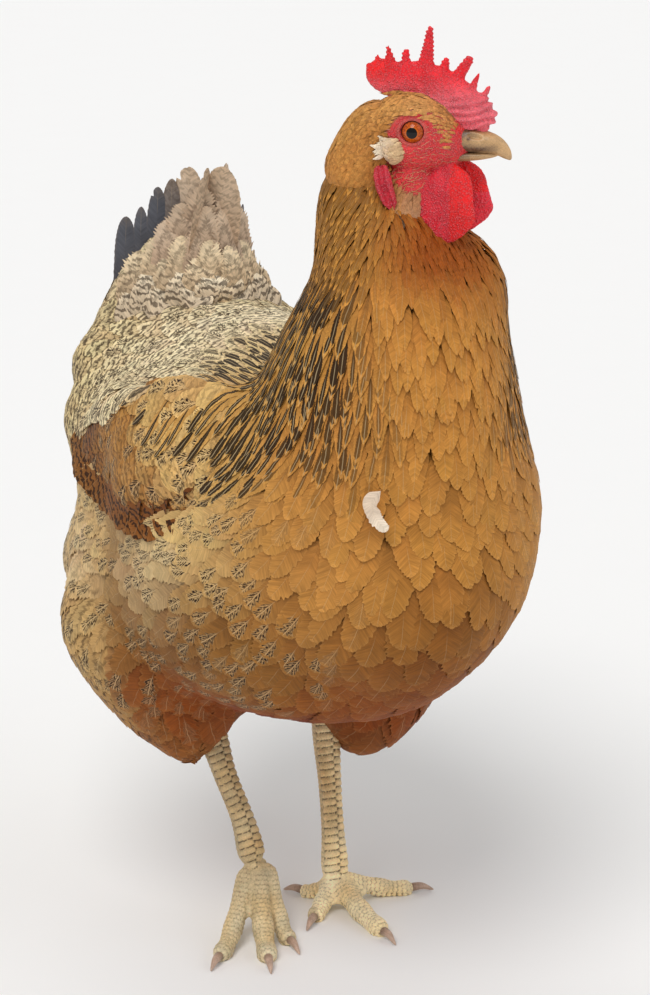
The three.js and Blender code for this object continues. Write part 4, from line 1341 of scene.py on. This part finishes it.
# ---------------------------------------------------------------- coat
def unwrap(surface):
    """Where each corner of the surface's triangles lies on an unwrap of its own shape."""
    obj = linked("unwrap", mesh_from("unwrap", surface.verts, surface.tris.tolist()))
    for other in bpy.context.selected_objects:
        other.select_set(False)
    obj.select_set(True)
    bpy.context.view_layer.objects.active = obj
    bpy.ops.object.mode_set(mode="EDIT")
    bpy.ops.mesh.select_all(action="SELECT")
    bpy.ops.uv.smart_project(angle_limit=1.15, island_margin=PATCH)
    bpy.ops.object.mode_set(mode="OBJECT")
    uv = np.empty(len(obj.data.loops) * 2, np.float32)
    obj.data.uv_layers.active.data.foreach_get("uv", uv)
    bpy.data.objects.remove(obj)
    return uv.reshape(-1, 3, 2).astype(float)


core_unwrap, head_unwrap = unwrap(core), unwrap(head)
feather_look = feather_material()


def coat(name, parts, slot, *nodes):
    placed(name, coat_mesh(name, parts), feather_look, slot, *nodes)


wing_face = on_wing[core.tris].mean(1) > .5
DENSITY = 0.70
BODY_ROWS = 25
SHORTER, SLIMMER = 0.86, 0.24
FOLDED_WIDTH = .45


def coated(surface, at_unwrap, lie, keep_face, seed, rows=BODY_ROWS, density=DENSITY,
           splay=.07, root_depth=-.6, straightest=.86, evenest=.70, **shape):
    """Feathers over part of a surface, with their places on its unwrap, and their roots."""
    roots, normals, faces, share = spread(
        surface, lambda q: lie.at(q)[1]["spacing"] * density, keep_face, seed)
    _, kind = lie.at(roots)
    vary = np.random.default_rng(seed + 1)
    for key, amount in (("length", .08), ("width", .07)):
        kind[key] = kind[key] * (1 + vary.normal(0, amount, len(roots)))
    if surface is core:
        kind["length"] = kind["length"] * SHORTER
        kind["width"] = kind["width"] * (1 - SLIMMER * kind["taper"])
    tone = 1 + vary.normal(0, .03, (len(roots), 1)) + vary.normal(0, .010, (len(roots), 3))
    for c, colour in enumerate("rgb"):
        kind[colour] = kind[colour] * tone[:, c]
    for shorten in (.62, .6, .7, 1.0):
        lines, ups = laid(surface, roots, normals, lie, kind["length"], seed + 2, splay)
        run = norm(np.diff(lines, axis=1), axis=2).sum(1)
        chord = norm(lines[:, -1] - lines[:, 0], axis=1) / run
        even = (ups[:, 1:] * ups[:, :-1]).sum(-1).min(1)
        good = (chord > straightest) & (even > evenest)
        kind["length"] = np.where(good, kind["length"], kind["length"] * shorten)
    good |= (chord > .6) & (even > .3)
    kind = {key: value[good] for key, value in kind.items()}
    place = (at_unwrap[faces] * share[..., None]).sum(1)[good]
    made = feathers(lines[good], ups[good], kind["width"], kind, rows, seed + 3, over=surface,
                    root_depth=root_depth, **shape)
    bent = folded(made["verts"])
    if bent.any():
        slim = {key: value[bent] for key, value in kind.items()}
        again = feathers(lines[good][bent], ups[good][bent], slim["width"] * FOLDED_WIDTH, slim, rows,
                         seed + 4, over=surface, root_depth=root_depth, **shape)
        for key in ("verts", "along", "across", "lay"):
            made[key] = np.array(made[key])
            made[key][bent] = again[key]
    flat = ~folded(made["verts"])
    made, place = picked(made, place, flat)
    return made, place, roots[good][flat]


def folded(verts):
    """Which vanes turn over on themselves somewhere along their length."""
    across, along = verts[:, :, 4] - verts[:, :, 0], np.gradient(verts[:, :, 2], axis=1)
    facing = unit(np.cross(along, across))
    return (facing[:, 1:] * facing[:, :-1]).sum(-1).min(1) < .3


def picked(made, place, chosen):
    """Some of a set's feathers."""
    out = dict(made)
    for key in ("verts", "along", "across", "lay", "seed"):
        out[key] = made[key][chosen]
    out["kind"] = {key: value[chosen] for key, value in made["kind"].items()}
    out["count"] = int(chosen.sum())
    return out, place[chosen]


face_middle = core.verts[core.tris].mean(1)
EDGE_Y, EDGE_Z = (-60, -12, 18, 52, 88, 122, 154), (262, 236, 229, 230, 240, 252, 264)
above_edge = face_middle[:, 2] - np.interp(face_middle[:, 1], EDGE_Y, EDGE_Z)
COVERTS_FRONT, COVERTS_RISE, FLANK_UP_TO, SADDLE_LINE, SADDLE_FALL = 18, 14, 8, 318, .5
below_saddle = face_middle[:, 2] < SADDLE_LINE - SADDLE_FALL * np.maximum(face_middle[:, 1], 0)
outward = core.face_normals[:, 0] * np.sign(face_middle[:, 0]) > .5
covert_edge = COVERTS_FRONT + COVERTS_RISE * ramp(face_middle[:, 1], -20, 40)
on_coverts = wing_face & (above_edge > covert_edge) & below_saddle & outward
on_body = ~wing_face | (above_edge < FLANK_UP_TO) | ~below_saddle | ~outward
NECK_FROM, HACKLE_FROM, SADDLE_FROM, BACK_BEHIND, BREAST_BEFORE = 345, 300, 270, 45, -60
on_neck = (face_middle[:, 2] > NECK_FROM) & (face_middle[:, 1] < BACK_BEHIND)
body_made, body_place, body_roots = coated(core, core_unwrap, body_lie, on_body & ~on_neck, 11)
neck_made, neck_place, neck_roots = coated(core, core_unwrap, body_lie, on_neck, 15, rows=12)
wing_made, wing_place, wing_roots = coated(core, core_unwrap, wing_lie, on_coverts, 21,
                                           straightest=.93, evenest=.86)
x, y, z = body_roots.T
regions = {
    "coat_hackle_left": (z > HACKLE_FROM) & (y < BACK_BEHIND) & (x > 0),
    "coat_hackle_right": (z > HACKLE_FROM) & (y < BACK_BEHIND) & (x <= 0),
    "coat_breast": (z <= HACKLE_FROM) & (y < BREAST_BEFORE),
    "coat_saddle": (z > SADDLE_FROM) & (y >= BACK_BEHIND),
}
rest = ~np.any(list(regions.values()), 0) & (z <= HACKLE_FROM)
regions["coat_flank_left"] = rest & (x > 0)
regions["coat_flank_right"] = rest & (x <= 0)
for name, chosen in regions.items():
    coat(name, [picked(body_made, body_place, chosen)], "feather_buff")
for made, place, roots, name, slot in ((neck_made, neck_place, neck_roots, "neck", "feather_buff"),
                                       (wing_made, wing_place, wing_roots, "wing", "feather_straw")):
    for side_name, chosen in (("left", roots[:, 0] > 0), ("right", roots[:, 0] <= 0)):
        coat(f"coat_{name}_{side_name}", [picked(made, place, chosen)], slot)

# Head: small feathers behind and above the bare face, bristles in rows on it, and the ear tufts.
local = to_head(head.verts[head.tris].mean(1))
x, y, z = local.T
part_of_face = head_part[head.tris[:, 0]]
outside = face_oval(y, z)
on_skull = part_of_face == SKULL_PART
eye_gap = np.hypot(y, z)
behind_beak = y > -17 - .25 * (z + 10)
EYE_CLEAR, HEAD_FOOT = 8.5, -58
feathered = on_skull & (outside > .97) & behind_beak & (eye_gap > EYE_CLEAR) & (z > HEAD_FOOT)
bristled = on_skull & (outside < 1.12) & (eye_gap > EYE_CLEAR) & (np.abs(x) > 5) & (y > -20)
tufted = on_skull & (np.hypot(y - 8, z + 9) < 5.5) & (np.abs(x) > 8)
head_lie, bristle_lie, tuft_lie = (Lie(zones, True) for zones in (HEAD_ZONES, BRISTLE_ZONES, TUFT_ZONES))
head_sets = [
    coated(head, head_unwrap, head_lie, feathered.astype(float), 31, rows=12, density=.85,
           splay=.2, root_depth=-.3),
    coated(head, head_unwrap, bristle_lie, bristled.astype(float), 41, rows=6, density=1.0,
           splay=.35, root_depth=-.3, fray=0.0),
    coated(head, head_unwrap, tuft_lie, tufted.astype(float), 51, rows=10, density=.8,
           splay=.25, root_depth=-.3),
]
for side_name, side in SIDES:
    parts = [picked(made, place, to_head(roots)[:, 0] * side > 0) for made, place, roots in head_sets]
    coat(f"coat_head_{side_name}", parts, "feather_buff")


# ---------------------------------------------------------------- quills of the tail and wings
def evenly(count, **values):
    """The kinds of a row of quills: every field a plain number or one for each."""
    base = {field: 0.0 for field in FIELDS}
    base.update(values)
    return {key: np.broadcast_to(np.asarray(value, float), (count,)).copy() for key, value in base.items()}


def toned(colours):
    return dict(zip("rgb", np.array([linear(c) for c in colours]).T))


ALONG = np.linspace(0, 1, STEPS)[None, :, None]
FAN_DOWN, FAN_LAYER, FAN_LENGTH, COVERT_RISE, COVERT_LENGTH, SECONDARY_LENGTH = 32, .9, 105, 44, 48, 52
FAN_ROOT, FAN_OUT = np.array([-1.5, 160, 316]), unit([-.79, .58, -.2])
FAN_UP = unit([-.02, -.32, .95])
FAN_FACE = -np.cross(FAN_OUT, FAN_UP)
TAIL_TOP, TAIL_BUFF, TAIL_MIXED, SLATE = (208, 186, 162), (232, 212, 178), (126, 116, 110), (92, 94, 102)
TAIL_STRAW = (244, 230, 202)
FAN = [  # tip outward and up, root outward, width, tone; the second lies over the rest
    (-12, 72, -14, 25, TAIL_TOP), (7, 76, -1, 21, TAIL_TOP), (16, 70, 8, 13, TAIL_MIXED),
    (23.5, 66, 16, 13, SLATE), (32, 55, 24, 10, SLATE), (40, 50, 34, 13.5, SLATE), (-3, 62, -6, 14, SLATE),
]
TAIL_COVERTS = [  # height of the tips, how far aside they stand, tone
    (375, (5,), TAIL_TOP), (366, (3, 15), TAIL_TOP), (357, (9, 21), TAIL_TOP), (348, (3, 15, 27), TAIL_BUFF),
    (339, (9, 21, 32), TAIL_BUFF), (331, (3, 15, 27), TAIL_STRAW), (323, (9, 21, 33), TAIL_STRAW),
]


def rectrices(side, seed):
    """The stiff feathers of one side of the tail."""
    out, up, root, width, tones = (list(column) for column in zip(*FAN))
    count = len(FAN)
    tips = FAN_OUT * np.array(out)[:, None] + FAN_UP * np.array(up)[:, None]
    roots = FAN_OUT * np.array(root)[:, None] - FAN_UP * FAN_DOWN
    s, layer = ALONG, (count - np.abs(np.arange(count) - 1)) * FAN_LAYER
    lines = (roots[:, None] * (1 - s) + tips[:, None] * s + FAN_ROOT + FAN_FACE * layer[:, None, None]
             + FAN_FACE * (4 * s * (1 - s)) * 2.5 - FAN_FACE * s ** 2 * 2)
    ups = np.broadcast_to(unit(FAN_FACE + .2 * FAN_OUT), lines.shape).copy()
    flip = np.array([side, 1, 1])
    lines, ups = lines * flip, ups * flip
    width = np.array(width, float)
    pale = np.array([tone != SLATE for tone in tones])
    kind = evenly(count, length=FAN_LENGTH, width=width, fleck=np.where(pale, .3, 0), **toned(tones))
    return feathers(lines, ups, width, kind, 44, seed, camber=.14, fray=1.2, stiff=1.0)


def tail_coverts(side, seed):
    """The soft feathers that stand in rows in front of the tail's foot, the lower over the higher."""
    draw = np.random.default_rng(seed)
    rows = [(x, z, tone) for z, places, tone in TAIL_COVERTS for x in places if x < 24 or side > 0]
    x, z, tones = (list(column) for column in zip(*rows))
    x, z = np.array(x, float) + draw.normal(0, 1, len(rows)), np.array(z, float)
    if side < 0:
        x, z = x + 2, z - 5
    tips = np.stack([-x, 124 + .12 * (z - 350) + .9 * x, z], 1) + draw.normal(0, .8, (len(rows), 3))
    roots, _ = core.nearest(tips + (0, 0, -COVERT_RISE))
    s, facing = ALONG, unit([-.35, -.85, .25])
    lines = roots[:, None] * (1 - s) + tips[:, None] * s + facing * (4 * s * (1 - s)) * 4
    ups = np.broadcast_to(facing, lines.shape).copy()
    width = draw.uniform(17, 21, len(rows))
    kind = evenly(len(rows), length=COVERT_LENGTH, width=width, lace=.55, fluff=.9,
                  fleck=np.clip((352 - z) / 24, 0, .8), **toned(tones))
    flip = np.array([side, 1, 1])
    return feathers(lines * flip, ups * flip, width, kind, 40, seed, camber=.12, fray=.9, stiff=.45)


for side_name, side in (("right", 1), ("left", -1)):  # the tail is laid out on her right
    rows = ((.1, rectrices(side, 60 + side)), (.4, tail_coverts(side, 70 + side)))
    parts = [(made, np.linspace((.1, row), (.9, row), made["count"])) for row, made in rows]
    coat(f"tail_quills_{side_name}", parts, "feather_slate", f"tail_fan_{side_name}")

SECONDARIES = 18
WING_EDGE = [(-97, -20, 240), (-101, 14, 230), (-107, 50, 230), (-104, 80, 234), (-96, 106, 240),
             (-86, 126, 246)]
QUILL_WAYS = [(0, -.30, .95), (0, -.36, .93), (0, -.46, .88), (.04, -.6, .8), (.06, -.76, .64),
              (.08, -.88, .47)]


def secondaries(side, seed):
    """The long feathers of a folded wing, each lying over the next one behind."""
    draw = np.random.default_rng(seed)
    share = np.linspace(0, 1, SECONDARIES)
    tips, ways = spline(WING_EDGE, share), unit(spline(QUILL_WAYS, share))
    tips = tips + ways * draw.normal(0, 1.2, (SECONDARIES, 1))
    s = ALONG
    guess = tips[:, None] + ways[:, None] * (1 - s) * SECONDARY_LENGTH
    guess = (guess * np.array([side, 1, 1])).reshape(-1, 3)
    spots, ups = core.nearest(guess)
    spots, ups = spots.reshape(-1, STEPS, 3), ups.reshape(-1, STEPS, 3)
    rise = 2.0 + 4.0 * s + (2.0 + 3.5 * ramp(share, 0, .18))[:, None, None] * s ** 3
    lines = spots + ups * (rise - share[:, None, None] * 1.5)
    width = np.full(SECONDARIES, 20.0)
    tones = share[:, None]
    colours = np.array((124, 72, 28)) * (1 - tones) + np.array((128, 84, 40)) * tones
    kind = evenly(SECONDARIES, length=SECONDARY_LENGTH, width=width, fleck=1.0, taper=.2, **toned(colours))
    place = np.linspace((.1, .3), (.9, .3), SECONDARIES)
    return feathers(lines, ups, width, kind, 50, seed, camber=.08, fray=.4, stiff=.4), place


for side_name, side in SIDES:
    coat(f"wing_quills_{side_name}", [secondaries(side, 81)], "feather_straw")

# One loose white feather caught on the breast.
STRAY = [(-32.5, -119.5, 284), (-35.5, -118, 279), (-36, -118.5, 274), (-33.5, -121, 268),
         (-30.5, -122.5, 265)]
STRAY_WIDTH, STRAY_LIFT = 7.5, 12.5
loose = spline(STRAY, np.linspace(0, 1, STEPS))
spots, ups = core.nearest(loose)
kind = evenly(1, length=24, width=STRAY_WIDTH, taper=.1, fluff=.5, **toned([(246, 230, 208)]))
made = feathers((spots + ups * STRAY_LIFT)[None], ups[None], kind["width"], kind, 30, 91, camber=.5,
                stiff=.6)
coat("stray_feather", [(made, np.array([[.5, .5]]))], "feather_straw")

# ---------------------------------------------------------------- floor, light, camera
TARGET = Vector(world((0, 0, 240)).tolist())
AZIMUTH, ELEVATION, DISTANCE = math.radians(-27), math.radians(18), 1.45
LENS, SENSOR = 104, 36
FLOOR_HALF, SKY_STRENGTH, LAMP_DISTANCE = 6.0, 0.42, 2
FLOOR_TONE = linear((246, 246, 246))


def toward(azimuth, elevation, distance):
    """A place around the target, azimuth 0 being in front of the bird."""
    out = Vector((math.sin(azimuth) * math.cos(elevation), -math.cos(azimuth) * math.cos(elevation),
                  math.sin(elevation)))
    return TARGET + out * distance


def aimed(name, data, place):
    """A camera or lamp that looks at the target."""
    obj = linked(name, data)
    obj.location = place
    obj.rotation_euler = (TARGET - place).to_track_quat("-Z", "Y").to_euler()
    return obj


camera = bpy.data.cameras.new("camera")
camera.lens, camera.sensor_width, camera.sensor_fit = LENS, SENSOR, "AUTO"
camera.clip_start, camera.clip_end = 0.05, 50
bpy.context.scene.camera = aimed("camera", camera, toward(AZIMUTH, ELEVATION, DISTANCE))

floor_corners = FLOOR_HALF * np.array([(-1, -1, 0), (1, -1, 0), (1, 1, 0), (-1, 1, 0)])
floor = linked("floor", mesh_from("floor", floor_corners, [(0, 1, 2, 3)]))
floor_look = Graph("floor")
floor_grain = floor_look.noise(floor_look.place(), .02, 2.0, .5)
floor_look.finish(floor_look.mix(floor_grain, tuple(FLOOR_TONE), tuple(FLOOR_TONE * .99)),
                  floor_look.step(floor_grain, .3, .7, .80, .84), Specular_IOR_Level=0.1)
floor.data.materials.append(floor_look.material)

LIGHTS = [  # azimuth, elevation, strength, angle across, tint
    ("key", -50, 56, 1.55, 34, (1.0, .985, .96)),
    ("fill", 50, 34, 0.45, 60, (.96, .98, 1.0)),
    ("back", 170, 50, 0.50, 40, (1.0, 1.0, 1.0)),
]
for name, azimuth, elevation, strength, across, tint in LIGHTS:
    lamp = bpy.data.lights.new(name, "SUN")
    lamp.energy, lamp.angle, lamp.color = strength, math.radians(across), tint
    aimed(name, lamp, toward(math.radians(azimuth), math.radians(elevation), LAMP_DISTANCE))

sky = bpy.data.worlds.new("studio")
sky.use_nodes = True
glow = sky.node_tree.nodes["Background"].inputs
glow["Color"].default_value, glow["Strength"].default_value = (1, 1, 1, 1), SKY_STRENGTH
bpy.context.scene.world = sky
bpy.context.scene.view_settings.view_transform = "Standard"
